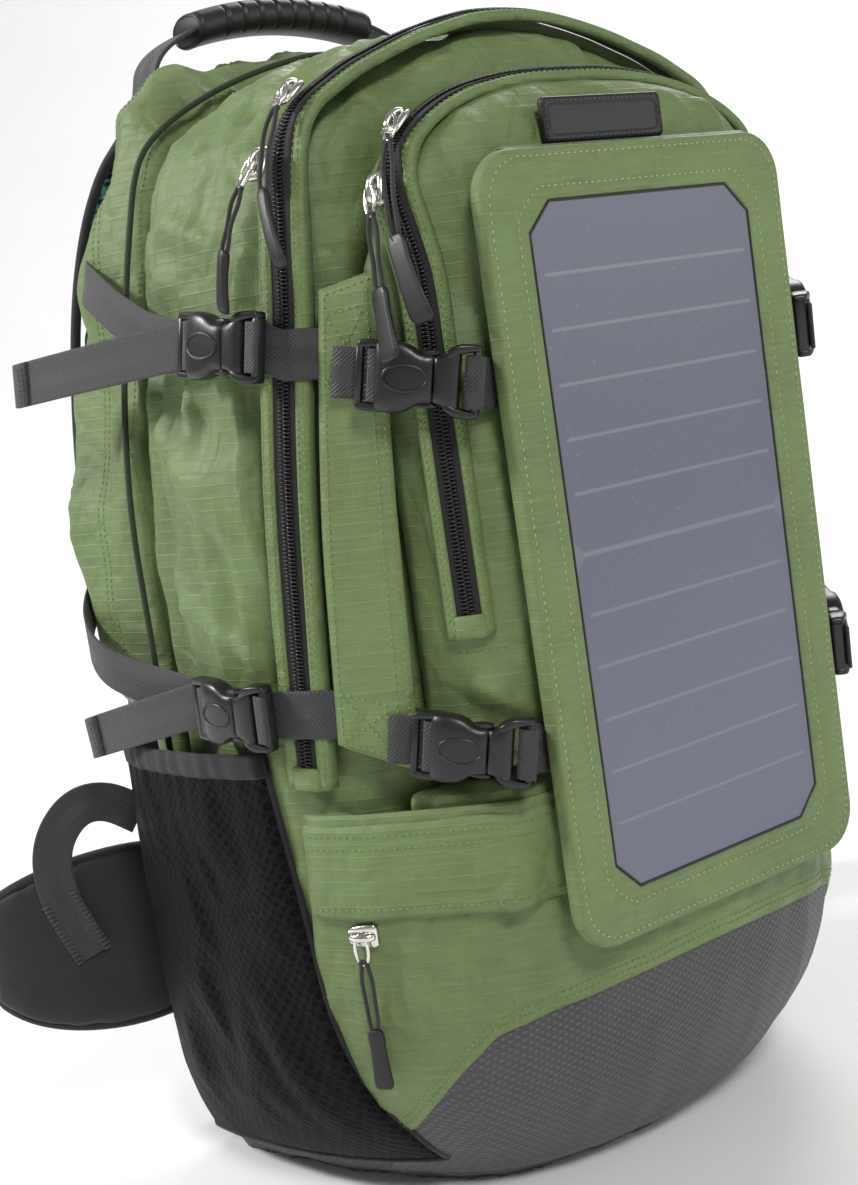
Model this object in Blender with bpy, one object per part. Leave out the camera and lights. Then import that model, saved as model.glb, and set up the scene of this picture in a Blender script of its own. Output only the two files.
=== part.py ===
"""Solar backpack: named pieces, front towards -Y, up +Z, base on Z = 0, in metres."""

import math

import bmesh
import bpy
from mathutils import Matrix, Vector

MM = 0.001

# Plan outlines of the filled bag at three heights (right half, front centre to rear centre).
CHEST = [(0, -140), (40, -140), (72, -139), (92, -134), (103, -124), (118, -106), (133, -88),
         (142, -70), (148, -45), (150, -10), (150, 38), (146, 70), (134, 90), (118, 96), (0, 96)]
BELLY = [(0, -144), (36, -142.5), (68, -136), (94, -124), (112, -110), (127, -94), (138, -76),
         (145, -58), (149, -35), (150, -8), (150, 38), (147, 70), (138, 88), (122, 96), (0, 96)]
BASE = [(0, -84), (26, -82), (48, -77), (66, -69), (80, -58), (91, -42), (101, -24),
        (110, -6), (118, 12), (125, 30), (131, 50), (133, 68), (128, 82), (114, 90), (0, 92)]
BELLY_Z = 110
CHEST_Z = 200
TAPER_Z = 300
TAPER_SPAN = 125
REAR_TAPER = 0.17

# Half-width of each arched top against height.
FRONT_ARCH = [(400, 113), (425, 104), (443, 96), (454, 85), (462, 70), (467, 55), (471, 32), (472, 14)]
MAIN_ARCH = [(410, 150), (423, 136), (449, 125), (470, 109), (483, 85), (494, 55), (500, 32), (503, 14)]
REAR_ARCH = [(450, 150), (466, 118), (480, 112), (493, 102), (508, 79), (518, 50), (521, 30), (522, 14)]

# Depth of the layers.
FRONT_BACK_Y = -95.3
MAIN_FRONT_Y = -94.7
MAIN_BACK_Y = 37.7
REAR_FRONT_Y = 38.3
PAD_FRONT_Y = 96.4
PAD_BACK_Y = 108
BOOT_SIDE_Z = 26
BOOT_FRONT_Z = 106
BOOT_GAP = 3.0
POCKET_SPLIT_Z = 196

# Solar panel.
PANEL_WIDTH = 168
PANEL_HEIGHT = 317
PANEL_CENTRE_Z = 281
PANEL_FRONT_Y = -155
PANEL_BACK_Y = -147.5
WINDOW_WIDTH = 124
WINDOW_HEIGHT = 276
WINDOW_CHAMFER = 12
WINDOW_DEPTH = 4.2
LAMINATE_THICKNESS = 3

# Side-release buckles for 20 mm webbing: u along the strap, v across, w outwards.
WEBBING = 20
WEB_THICK = 1.4
BUCKLE_HALF_WIDTH = 13.5
BUCKLE_THICK = 9.5


def clamp(value, low, high):
    return max(low, min(high, value))


def ease(t):
    t = clamp(t, 0, 1)
    return t * t * (3 - 2 * t)


def lerp_table(table, key):
    if key <= table[0][0]:
        return table[0][1]
    for (a, va), (b, vb) in zip(table, table[1:]):
        if key <= b:
            return va + (vb - va) * (key - a) / (b - a)
    return table[-1][1]


def plan(z):
    """The bag's outline at height z: points (x, y) of the right half."""
    if z < BELLY_Z:
        f = math.sin(math.pi / 2 * max(0.0, z / BELLY_Z) ** 0.8)
        low, high = BASE, BELLY
    else:
        f = ease((z - BELLY_Z) / (CHEST_Z - BELLY_Z))
        low, high = BELLY, CHEST
    points = []
    for (xa, ya), (xb, yb) in zip(low, high):
        x = xa + (xb - xa) * f
        y = ya + (yb - ya) * f
        back = clamp((y + 130) / 226, 0, 1)
        shrink = REAR_TAPER * math.sqrt(back) * max(0.0, (z - TAPER_Z) / TAPER_SPAN) ** 1.6
        points.append((x * (1 - shrink), y))
    return points


def side_point(y, z):
    """(x, y, nx, ny) on the right-hand outline at depth y."""
    line = plan(z)
    for (xa, ya), (xb, yb) in zip(line, line[1:]):
        if ya <= y <= yb and yb > ya:
            t = (y - ya) / (yb - ya)
            length = math.hypot(xb - xa, yb - ya)
            return xa + (xb - xa) * t, y, (yb - ya) / length, -(xb - xa) / length
    return line[-2][0], y, 1.0, 0.0


def front_y(x, z):
    line = plan(z)
    for (xa, ya), (xb, yb) in zip(line, line[1:]):
        if xa <= abs(x) <= xb:
            return ya + (yb - ya) * (abs(x) - xa) / (xb - xa)
    return line[4][1]


def boot_top(y):
    """Height of the grey boot's upper edge, which sweeps up towards the front."""
    t = clamp((-58 - y) / 82, 0, 1)
    return BOOT_SIDE_Z + (BOOT_FRONT_Z - BOOT_SIDE_Z) * (1 - math.cos(math.pi * t)) / 2


def resample(points, count, last_y=None):
    """The points respaced evenly by length, cut off at depth last_y when one is given."""
    if last_y is not None:
        kept = [points[0]]
        for (xa, ya), (xb, yb) in zip(points, points[1:]):
            if yb >= last_y:
                t = (last_y - ya) / (yb - ya)
                kept.append((xa + (xb - xa) * t, last_y))
                break
            kept.append((xb, yb))
        points = kept
    steps = [0.0]
    for a, b in zip(points, points[1:]):
        steps.append(steps[-1] + math.hypot(b[0] - a[0], b[1] - a[1]))
    made = []
    for k in range(count):
        want = steps[-1] * k / (count - 1)
        i = 0
        while i < len(points) - 2 and steps[i + 1] < want:
            i += 1
        t = (want - steps[i]) / max(1e-9, steps[i + 1] - steps[i])
        a, b = points[i], points[i + 1]
        made.append((a[0] + (b[0] - a[0]) * t, a[1] + (b[1] - a[1]) * t))
    return made


MATERIALS = {}


def material(name, colour, roughness=0.8, metallic=0.0):
    if name not in MATERIALS:
        made = bpy.data.materials.new(name)
        made.use_nodes = True
        shader = made.node_tree.nodes["Principled BSDF"]
        shader.inputs["Base Color"].default_value = (*colour, 1)
        shader.inputs["Roughness"].default_value = roughness
        shader.inputs["Metallic"].default_value = metallic
        made.diffuse_color = (*colour, 1)
        MATERIALS[name] = made
    return MATERIALS[name]


GREEN = ("green_ripstop_nylon", (0.16, 0.24, 0.10), 0.75)
GREY = ("grey_ballistic_nylon", (0.09, 0.09, 0.09), 0.85)
BLACK_WEB = ("black_webbing", (0.03, 0.03, 0.03), 0.8)
BLACK_MESH = ("black_mesh", (0.03, 0.03, 0.03), 0.9)
TEAL_MESH = ("teal_air_mesh", (0.05, 0.14, 0.12), 0.9)
ACETAL = ("black_acetal", (0.02, 0.02, 0.02), 0.35)
RUBBER = ("black_rubber", (0.03, 0.03, 0.03), 0.6)
LAMINATE = ("solar_laminate", (0.09, 0.10, 0.14), 0.3)
COIL = ("black_zip_coil", (0.02, 0.02, 0.02), 0.6)
NICKEL = ("nickel_plate", (0.6, 0.6, 0.6), 0.25, 1.0)
PADDING = ("black_padded_nylon", (0.03, 0.03, 0.03), 0.85)


def add(name, verts, faces, mat, smooth=False, origin=None):
    """One mesh object from points in mm; its origin goes to a joint axis when one is given."""
    shift = Vector(origin or (0, 0, 0))
    mesh = bpy.data.meshes.new(name)
    mesh.from_pydata([(Vector(v) - shift) * MM for v in verts], [], faces)
    work = bmesh.new()
    work.from_mesh(mesh)
    bmesh.ops.remove_doubles(work, verts=work.verts, dist=1e-6)
    bmesh.ops.recalc_face_normals(work, faces=work.faces)
    work.to_mesh(mesh)
    work.free()
    if smooth:
        mesh.polygons.foreach_set("use_smooth", [True] * len(mesh.polygons))
    obj = bpy.data.objects.new(name, mesh)
    obj.location = shift * MM
    mesh.materials.append(material(*mat))
    bpy.context.scene.collection.objects.link(obj)
    return obj


def loft(name, rings, mat, smooth=False, origin=None, strip=False):
    """Closed loft through rings of equal length. strip closes each end straight across from side to side."""
    count = len(rings[0])
    verts = [p for ring in rings for p in ring]
    faces = []
    for k in range(len(rings) - 1):
        for i in range(count):
            j = (i + 1) % count
            faces.append((k * count + i, k * count + j, (k + 1) * count + j, (k + 1) * count + i))
    for k in (0, len(rings) - 1):
        if strip:
            half = count // 2
            for i in range(half - 1):
                faces.append(tuple(k * count + n for n in (i, i + 1, count - 2 - i, count - 1 - i)))
        else:
            faces.append(tuple(k * count + i for i in range(count)))
    return add(name, verts, faces, mat, smooth, origin)


def mirrored_ring(half):
    """Right-half points (x, y, z) and then their mirror images, going back."""
    return [tuple(p) for p in half] + [(-p[0], p[1], p[2]) for p in reversed(half)]


def nudge(half):
    """Keeps the centre points off the mirror line so that a ring never doubles a vertex."""
    return [(max(p[0], 1.5), p[1], p[2]) for p in half]


def box_faces():
    return [(0, 1, 2, 3), (7, 6, 5, 4), (0, 4, 5, 1), (1, 5, 6, 2), (2, 6, 7, 3), (3, 7, 4, 0)]


def box_points(lo, hi):
    (a, b, c), (d, e, f) = lo, hi
    return [(a, b, c), (d, b, c), (d, e, c), (a, e, c), (a, b, f), (d, b, f), (d, e, f), (a, e, f)]


def cutter(name, verts, faces):
    obj = add(name, verts, faces, GREY)
    obj.hide_render = True
    obj.display_type = "WIRE"
    return obj


def subtract(obj, tool):
    """Takes the tool's volume out of the object and bakes the result."""
    cut = obj.modifiers.new("cut_" + tool.name, "BOOLEAN")
    cut.operation = "DIFFERENCE"
    cut.solver = "EXACT"
    cut.object = tool
    return cut


def unite(obj, tool):
    """Joins the tool's volume to the object."""
    join = obj.modifiers.new("join_" + tool.name, "BOOLEAN")
    join.operation = "UNION"
    join.solver = "EXACT"
    join.object = tool


def ribbon(name, path, across, width, thick, mat, origin=None):
    """A flat strap along path; across holds the width direction at each point, or one for all of it."""
    points = [Vector(p) for p in path]
    count = len(points)
    widths = [Vector(across[i] if isinstance(across, list) else across).normalized() for i in range(count)]
    rings = []
    for i in range(count):
        before = (points[i] - points[i - 1]).normalized() if i else None
        after = (points[i + 1] - points[i]).normalized() if i < count - 1 else None
        if before is None:
            before = after
        if after is None:
            after = before
        side = widths[i]
        na = before.cross(side).normalized()
        nb = after.cross(side).normalized()
        normal = (na + nb).normalized()
        grow = min(1.6, 1 / max(0.3, normal.dot(na)))
        off = normal * (thick / 2 * grow)
        half = side * (width / 2)
        rings.append([points[i] - half - off, points[i] + half - off, points[i] + half + off,
                      points[i] - half + off])
    return loft(name, rings, mat, origin=origin)


def flip(points, side):
    """side is -1 for the left of the bag and 1 for the right; shapes are drawn for the right."""
    return [(side * p[0], p[1], p[2]) for p in points]


# ---------------------------------------------------------------- body

def solve_ring(levels_from, frac, count, last_y, gap):
    """Ring points whose heights run from the boot's edge (frac 0) up to levels_from (frac 1)."""
    half = []
    for i in range(count):
        z = levels_from
        for _ in range(40):
            x, y = resample(plan(z), count, last_y)[i]
            floor = boot_top(y) + gap
            z = 0.5 * z + 0.5 * (floor + (levels_from - floor) * frac)
        half.append((x, y, z))
    return half


def resample_at(points, share):
    """The point at this share of the line's length."""
    steps = [0.0]
    for a, b in zip(points, points[1:]):
        steps.append(steps[-1] + math.hypot(b[0] - a[0], b[1] - a[1]))
    want = steps[-1] * share
    i = 0
    while i < len(points) - 2 and steps[i + 1] < want:
        i += 1
    t = (want - steps[i]) / max(1e-9, steps[i + 1] - steps[i])
    a, b = points[i], points[i + 1]
    return a[0] + (b[0] - a[0]) * t, a[1] + (b[1] - a[1]) * t


def share_of(points, x, y):
    """How far along the line the point nearest to (x, y) lies."""
    steps = [0.0]
    for a, b in zip(points, points[1:]):
        steps.append(steps[-1] + math.hypot(b[0] - a[0], b[1] - a[1]))
    best = None
    for i, (a, b) in enumerate(zip(points, points[1:])):
        dx, dy = b[0] - a[0], b[1] - a[1]
        t = clamp(((x - a[0]) * dx + (y - a[1]) * dy) / max(1e-9, dx * dx + dy * dy), 0, 1)
        gap = math.hypot(a[0] + dx * t - x, a[1] + dy * t - y)
        if best is None or gap < best[0]:
            best = (gap, (steps[i] + t * (steps[i + 1] - steps[i])) / steps[-1])
    return best[1]


BOOT_FRONT_X = (1.5, 22, 44, 64, 80, 92)
BOOT_SIDE_Y = (-116, -107, -98, -89, -80, -71, -62, -50, -30, 0, 30, 58, 76, 87)


def make_boot():
    """Tray with a raised toe; its top follows boot_top from the front round to the sides."""
    top = []
    for x in BOOT_FRONT_X:
        z = BOOT_FRONT_Z
        for _ in range(30):
            z = 0.5 * z + 0.5 * boot_top(front_y(x, z))
        top.append((x, front_y(x, z), z))
    for y in BOOT_SIDE_Y:
        top.append((side_point(y, boot_top(y))[0], y, boot_top(y)))
    top.append((112, 91.5, BOOT_SIDE_Z))
    shares = [share_of(plan(z), x, y) for x, y, z in top]
    rings = []
    for frac in (0.0, 0.14, 0.34, 0.6, 0.82):
        half = []
        for (x, y, z), share in zip(top, shares):
            px, py = resample_at(plan(z * frac), share)
            half.append((max(px, 1.5), py, z * frac))
        rings.append(mirrored_ring(half))
    rings.append(mirrored_ring(top))
    loft("base_boot", rings, GREY, strip=True)


def make_lower_pocket():
    rings = []
    for frac in (0.0, 0.2, 0.4, 0.6, 0.8, 1.0):
        half = solve_ring(POCKET_SPLIT_Z, frac, 12, FRONT_BACK_Y, BOOT_GAP)
        rings.append(mirrored_ring(nudge(half)))
    loft("lower_pocket", rings, GREEN, strip=True)


def make_front_pocket():
    rings = []
    for z in (POCKET_SPLIT_Z + 0.4, 230, 270, 310, 350, 385, 405, 425, 443, 454, 462, 467, 471, 472):
        limit = lerp_table(FRONT_ARCH, z)
        back = 12 * max(0.0, (z - 440) / 32) ** 2
        half = []
        for x, y in resample(plan(z), 11, FRONT_BACK_Y):
            if y < FRONT_BACK_Y - 0.5:
                y = min(y + back, FRONT_BACK_Y - 1)
            half.append((min(x, limit), y, z))
        rings.append(mirrored_ring(spread(half, limit)))
    loft("front_pocket", rings, GREEN, strip=True)


def spread(half, limit):
    """Spaces out points that the arch has pushed to one width, so that no face is a sliver."""
    return [(max(min(p[0], limit - 0.02 * (len(half) - i)), 1.0 + 0.05 * i), p[1], p[2])
            for i, p in enumerate(half)]


def main_z(y, z):
    """The main compartment's top climbs towards the back."""
    return z + 9 * (y + 85) / 110 * clamp((z - 200) / 300, 0, 1)


def make_main():
    stations = (MAIN_FRONT_Y, -85, -72, -50, -20, 10, 28, MAIN_BACK_Y)
    rings = []
    for frac in (0.0, 0.3, 0.65):
        half = []
        for y in stations:
            floor = boot_top(y) + BOOT_GAP
            z = floor + (CHEST_Z - floor) * frac
            half.append((side_point(y, z)[0], y, z))
        rings.append(mirrored_ring(half))
    for z in (200, 260, 320, 370, 410, 423, 436, 449, 460, 470, 477, 483, 489, 494, 500, 503):
        limit = lerp_table(MAIN_ARCH, z)
        half = []
        for y in stations:
            edge = 3.0 if y in (MAIN_BACK_Y,) and z > 420 else 0.0
            half.append((min(side_point(y, z)[0], limit) - edge, y, main_z(y, z)))
        rings.append(mirrored_ring(half))
    loft("main_compartment", rings, GREEN, strip=True)


def make_rear():
    stations = (REAR_FRONT_Y, 44, 58, 72, 84, 92, 96)
    rings = []
    levels = (BOOT_SIDE_Z + BOOT_GAP, 80, 140, 200, 260, 320, 370, 410, 440, 456, 466, 480, 493, 501, 508,
              514, 518, 521, 522)
    for z in levels:
        limit = lerp_table(REAR_ARCH, z)
        half = []
        for y in stations:
            edge = 4.0 if y == REAR_FRONT_Y and z > 420 else 0.0
            rear_edge = 3.0 if y == 96 and z > 470 else 0.0
            drop = 9 * clamp((72 - y) / 34, 0, 1) ** 1.5 * clamp((z - 420) / 100, 0, 1)
            half.append((min(side_point(y, z)[0], limit) - edge - rear_edge, y, z - drop))
        rings.append(mirrored_ring(half))
    loft("rear_compartment", rings, GREEN, strip=True)


def make_back_pad():
    rings = []
    for z, half_width in ((70, 92), (76, 100), (120, 112), (220, 118), (330, 116), (410, 108), (450, 98),
                          (478, 84), (492, 66), (496, 50)):
        front = PAD_FRONT_Y
        back = PAD_BACK_Y
        ends = 3.0 if z in (70, 496) else 0.0
        rings.append(mirrored_ring([(half_width - 3, front, z), (half_width, front + 3, z),
                                    (half_width, back - 3 - ends, z), (half_width - 5, back - ends, z)]))
    loft("back_pad", rings, TEAL_MESH, strip=True)


def smooth_side(y, z):
    """side_point with the normal averaged over a short stretch."""
    x, yy, _, _ = side_point(y, z)
    xa = side_point(y - 7, z)[0]
    xb = side_point(y + 7, z)[0]
    length = math.hypot(xb - xa, 14)
    return x, yy, 14 / length, -(xb - xa) / length


def wing_left_y(z):
    return -83 - 13 * (z - 219) / 180


def wing_right_y(z):
    return -108 - 9 * (z - 199) / 204


def make_wing(side, tag):
    """Stiffened panel over the side, carried by the two webbing straps that run under it."""
    rows = 5
    steps = 6

    def point(i, j, k):
        t = i / rows
        bottom = 219 - 14 * t
        top = 398 + 5 * t
        z = bottom + (top - bottom) * k / steps
        y = wing_left_y(z) + (wing_right_y(z) - wing_left_y(z)) * t
        return on_side(side, y, z, (3.2, 5.2)[j])

    cell_solid("side_wing_" + tag, (rows, 1, steps), lambda i, j, k: True, point, GREEN)


def make_flap():
    """The welt over the lower pocket's zip, round the front from one side to the other."""
    rings = []
    for offset, z in ((1.4, 150), (3.4, 146), (3.4, 182), (1.4, 186)):
        ring = []
        for x, y in resample(plan(z), 12, -97):
            ring.append((x, y, z, offset))
        rings.append(ring)
    sections = []
    count = 12
    for i in range(-(count - 1), count):
        k = abs(i)
        section = []
        for ring in rings:
            x, y, z, off = ring[k]
            xa, ya = ring[max(0, k - 1)][:2]
            xb, yb = ring[min(count - 1, k + 1)][:2]
            length = math.hypot(xb - xa, yb - ya)
            nx = (yb - ya) / length if k else 0.0
            ny = -(xb - xa) / length if k else -1.0
            sign = 1 if i >= 0 else -1
            section.append((sign * (x + nx * off), y + ny * off, z))
        sections.append(section)
    loft("lower_pocket_flap", sections, GREEN)


def cell_solid(name, counts, is_solid, point, mat):
    """One body made of grid cells: a face is drawn wherever a filled cell meets an empty one."""
    index = {}
    verts = []

    def vertex(key):
        if key not in index:
            index[key] = len(verts)
            verts.append(point(*key))
        return index[key]

    def filled(i, j, k):
        inside = 0 <= i < counts[0] and 0 <= j < counts[1] and 0 <= k < counts[2]
        return inside and is_solid(i, j, k)

    sides = (((1, 0, 0), ((1, 0, 0), (1, 1, 0), (1, 1, 1), (1, 0, 1))),
             ((-1, 0, 0), ((0, 0, 0), (0, 0, 1), (0, 1, 1), (0, 1, 0))),
             ((0, 1, 0), ((0, 1, 0), (0, 1, 1), (1, 1, 1), (1, 1, 0))),
             ((0, -1, 0), ((0, 0, 0), (1, 0, 0), (1, 0, 1), (0, 0, 1))),
             ((0, 0, 1), ((0, 0, 1), (1, 0, 1), (1, 1, 1), (0, 1, 1))),
             ((0, 0, -1), ((0, 0, 0), (0, 1, 0), (1, 1, 0), (1, 0, 0))))
    faces = []
    for i in range(counts[0]):
        for j in range(counts[1]):
            for k in range(counts[2]):
                if not filled(i, j, k):
                    continue
                for (di, dj, dk), corners in sides:
                    if not filled(i + di, j + dj, k + dk):
                        faces.append(tuple(vertex((i + a, j + b, k + c)) for a, b, c in corners))
    return add(name, verts, faces, mat)


POCKET_Y = (-46, -41.5, -26, -8, 12, 32, 50, 62, 73.5, 78)
POCKET_OFFSETS = (1.2, 10.6, 13.2)
POCKET_SHARES = (0.0, 0.07, 0.3, 0.55, 0.8, 1.0)


def make_mesh_pocket(side, tag):
    """An open-topped pocket on the bag's side; its inner face is the bag itself."""
    last = len(POCKET_Y) - 2

    def solid(i, j, k):
        return k == 0 or j == 1 or i in (0, last)

    def point(i, j, k):
        y = POCKET_Y[i]
        bottom = 20 + 0.1 * (78 - y)
        top = 208 + 0.04 * (78 - y)
        return on_side(side, y, bottom + (top - bottom) * POCKET_SHARES[k], POCKET_OFFSETS[j])

    cell_solid("mesh_pocket_" + tag, (len(POCKET_Y) - 1, 2, len(POCKET_SHARES) - 1), solid, point, BLACK_MESH)


# ---------------------------------------------------------------- buckles

def frame_at(origin, along, outward):
    """Matrix whose columns are u (along), v (across) and w (outward)."""
    u = Vector(along).normalized()
    w = Vector(outward)
    w = (w - u * w.dot(u)).normalized()
    v = w.cross(u).normalized()
    made = Matrix.Identity(4)
    for row in range(3):
        made[row][0] = u[row]
        made[row][1] = v[row]
        made[row][2] = w[row]
        made[row][3] = origin[row]
    return made


def at(frame, u, v, w):
    return tuple(frame @ Vector((u, v, w)))


def prism(frame, outline, w0, w1):
    """Points and faces of a flat outline in (u, v) raised from w0 to w1."""
    count = len(outline)
    verts = [at(frame, u, v, w0) for u, v in outline] + [at(frame, u, v, w1) for u, v in outline]
    faces = [tuple(range(count)), tuple(range(2 * count - 1, count - 1, -1))]
    for i in range(count):
        j = (i + 1) % count
        faces.append((i, j, count + j, count + i))
    return verts, faces


def framed_box(name, frame, lo, hi):
    verts = [at(frame, *p) for p in box_points(lo, hi)]
    return cutter(name, verts, box_faces())


def make_female(name, frame):
    """Receiving half: a body with a cavity for the prongs and a two-slot ladder behind it."""
    h = BUCKLE_HALF_WIDTH
    outline = [(-26, -h + 2), (-26, h - 2), (-24, h - 0.5), (-13, h - 0.5), (-9, h), (2, h), (4, h - 2),
               (4, -h + 2), (2, -h), (-9, -h), (-13, -h + 0.5), (-24, -h + 0.5)]
    verts, faces = prism(frame, outline, 0, BUCKLE_THICK)
    body = add(name, verts, faces, ACETAL)
    subtract(body, framed_box(name + "_cavity", frame, (-9.5, -h + 1.8, 2.0), (6, h - 1.8, 7.6)))
    subtract(body, framed_box(name + "_slot_b", frame, (-15.2, -10.8, -3), (-11.4, 10.8, 14)))
    subtract(body, framed_box(name + "_slot_a", frame, (-22.8, -10.8, -3), (-18.8, 10.8, 14)))
    subtract(body, framed_box(name + "_ladder_top", frame, (-27.5, -h - 1, 5.9), (-13.3, h + 1, 14)))


def make_male(name, frame):
    """Plug half: a flared end with a webbing slot and a tongue inside the receiving half."""
    h = BUCKLE_HALF_WIDTH
    tongue = h - 2.4
    head = [(22, -h + 1.5), (22, h - 1.5), (20, h), (6, h - 0.5), (4.4, h - 1.5), (4.4, -h + 1.5), (6, -h + 0.5),
            (20, -h)]
    verts, faces = prism(frame, head, 0.4, BUCKLE_THICK)
    body = add(name, verts, faces, ACETAL)
    prongs = [(7, -tongue), (7, tongue), (3, tongue), (-9, tongue - 1.5), (-9, -tongue + 1.5), (3, -tongue)]
    verts, faces = prism(frame, prongs, 2.4, 7.2)
    unite(body, cutter(name + "_tongue", verts, faces))
    subtract(body, framed_box(name + "_slot", frame, (14.6, -10.8, -3), (18.8, 10.8, 14)))
    subtract(body, framed_box(name + "_bar_top", frame, (16.7, -h - 1, 6.4), (24, h + 1, 14)))


# Path of webbing through the two-slot ladder and through the plug's slot, as (u, w).
LADDER_PATH = [(-13.2, -1.4), (-13.2, 6.4), (-14.2, 7.0), (-19.6, 7.0), (-20.7, 6.2), (-20.7, 0.3), (-22.0, -1.0)]
PLUG_PATH = [(16.7, -0.6), (16.7, 6.3), (18.0, 7.5), (24.0, 7.5)]


def side_buckle_frame(side, y, z, tilt, stand_off):
    """Frame of a buckle on the bag's side; u points forwards, towards the wing."""
    forward = (Vector(on_side(side, y - 12, z, 0)) - Vector(on_side(side, y + 12, z, 0))).normalized()
    upward = up_side(side, y, z)
    normal = forward.cross(upward)
    if normal.x * side < 0:
        normal = -normal
    origin = Vector(on_side(side, y, z, 0)) + normal * stand_off
    along = forward * math.cos(tilt) - upward * math.sin(tilt)
    return frame_at(origin, along, normal)


SIDE_UPPER = (-58, 381, math.radians(7), 5.2)
SIDE_LOWER = (-40, 233, math.radians(3), 5.2)
CORNER_UPPER = (359, math.radians(12))
CORNER_LOWER = (214, math.radians(11))
CORNER_PLAN = (105.2, -132.2)
CORNER_DIR = (-0.68, -0.733)


def corner_frame(side, z, tilt):
    """Frame of a buckle on the bag's front corner; u points towards the panel."""
    dx, dy = CORNER_DIR
    along = Vector((side * dx * math.cos(tilt), dy * math.cos(tilt), -math.sin(tilt)))
    normal = Vector((side * -dy, dx, 0))
    return frame_at((side * CORNER_PLAN[0], CORNER_PLAN[1], z), along, normal)


def up_side(side, y, z):
    """Direction up the bag's leaning side."""
    return (Vector(on_side(side, y, z + 8, 0)) - Vector(on_side(side, y, z - 8, 0))).normalized()


def on_side(side, y, z, off):
    x, yy, nx, ny = smooth_side(y, z)
    return (side * (x + nx * off), yy + ny * off, z)


def web_across(frame):
    """Across the webbing, always the upward way."""
    made = frame.to_3x3() @ Vector((0, 1, 0))
    return made if made.z > 0 else -made


def rear_strap(name, side, frame, run, tail_end):
    """Webbing sewn into the rear seam, through the ladder and back out as a tail; run is (y, z, offset)."""
    path = [on_side(side, y, z, off) for y, z, off in run]
    across = [up_side(side, y, z) for y, z, off in run]
    inner = [(-30, -2.9), (-16, -2.9)] + LADDER_PATH + [(-30, -0.9)]
    path += [at(frame, u, 0, w) for u, w in inner]
    across += [web_across(frame)] * len(inner)
    start = Vector(path[-1])
    finish = Vector(tail_end)
    for t in (0.35, 0.7, 1.0):
        path.append(tuple(start.lerp(finish, t)))
        across.append(web_across(frame))
    ribbon(name, path, across, WEBBING, WEB_THICK, BLACK_WEB)


def wing_strap(name, side, plug, ladder, z_from, z_to):
    """Webbing from the side buckle's plug, under the wing, to the corner buckle's ladder."""
    path = [at(plug, u, 0, w) for u, w in reversed(PLUG_PATH)]
    path.append(at(plug, 19.5, 0, -1.2))
    across = [web_across(plug)] * len(path)
    y_from = wing_left_y(z_from) + 0.5
    y_to = wing_right_y(z_to) - 4.5
    plug_y = at(plug, 20, 0, 0)[1]
    for y in ((plug_y + y_from + 6.5) / 2, y_from + 6.5):
        path.append(on_side(side, y, z_from + 1, 4.8))
        across.append(up_side(side, y, z_from))
    steps = 10
    for k in range(steps + 1):
        t = k / steps
        y = y_from + (y_to - y_from) * t
        z = z_from + (z_to - z_from) * t
        path.append(on_side(side, y, z, 1.6))
        across.append(up_side(side, y, z).lerp(web_across(ladder), t))
    path += [at(ladder, u, 0, w) for u, w in LADDER_PATH]
    path += [at(ladder, -27, 0, -1.0), at(ladder, -36, 0, -0.6)]
    across += [web_across(ladder)] * (len(LADDER_PATH) + 2)
    ribbon(name, path, across, WEBBING, WEB_THICK, BLACK_WEB)


def front_strap(name, z_level, tilt):
    """Webbing across the front pocket behind the panel, sewn round both corner plugs."""
    half = []
    across = []
    frame = corner_frame(1, z_level, tilt)
    for u, w in reversed(PLUG_PATH):
        half.append(at(frame, u, 0, w))
        across.append(tuple(web_across(frame)))
    end_z = at(frame, 20, 0, 0)[2]
    half.append(at(frame, 20.0, 0, -1.4))
    across.append(tuple(web_across(frame)))
    half.append((82, -142.6, end_z - 2.0))
    across.append(tuple(Vector(web_across(frame)).lerp(Vector((0, 0, 1)), 0.6)))
    for x in (66, 40, 12):
        half.append((x, -141.9, end_z - 3.0))
        across.append((0, 0, 1))
    mirrored = [(-p[0], p[1], p[2]) for p in reversed(half)]
    other = [(-a[0], a[1], a[2]) for a in reversed(across)]
    ribbon(name, half + mirrored, across + other, WEBBING, WEB_THICK, BLACK_WEB)


# ---------------------------------------------------------------- zips

def arch_point(arch, z, y, rise=0.0):
    x = min(side_point(y, min(z, 500))[0], lerp_table(arch, z))
    return (x, y, z + rise)


def zip_track(name, arch, y_of, z_low, levels, lift, width, rise_of):
    """Zip tape over an arch: a band whose width runs front to back."""
    half = []
    for z in levels:
        y = y_of(z)
        if z < z_low:
            continue
        half.append(arch_point(arch, z, y, rise_of(y, z)))
    outer = []
    count = len(half)
    for i, p in enumerate(half):
        a = Vector(half[max(0, i - 1)])
        b = Vector(half[i + 1]) if i < count - 1 else Vector((-p[0], p[1], p[2]))
        along = (b - a).normalized()
        across = surface_across(p, arch, along)
        normal = across.cross(along).normalized()
        if normal.x < 0 and normal.z < 0.3:
            normal = -normal
        if normal.z < 0 and normal.x <= 0.3:
            normal = -normal
        outer.append((Vector(p) + normal * lift, across))
    path = [tuple(p) for p, _ in outer] + [(-p.x, p.y, p.z) for p, _ in reversed(outer)]
    across = [tuple(a) for _, a in outer] + [(-a.x, a.y, a.z) for _, a in reversed(outer)]
    return ribbon(name, path, across, width, 1.4, COIL)


def surface_across(p, arch, along):
    """Direction across the tape: along the bag's surface, square to the tape."""
    x, y, z = p
    limit = lerp_table(arch, z)
    if limit < side_point(y, min(z, 500))[0] - 0.5:
        base = Vector((0, 1, 0))
    else:
        ahead = side_point(y + 5, z)[0] - side_point(y - 5, z)[0]
        base = Vector((ahead, 10, 0))
    return (base - along * base.dot(along)).normalized()


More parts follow.
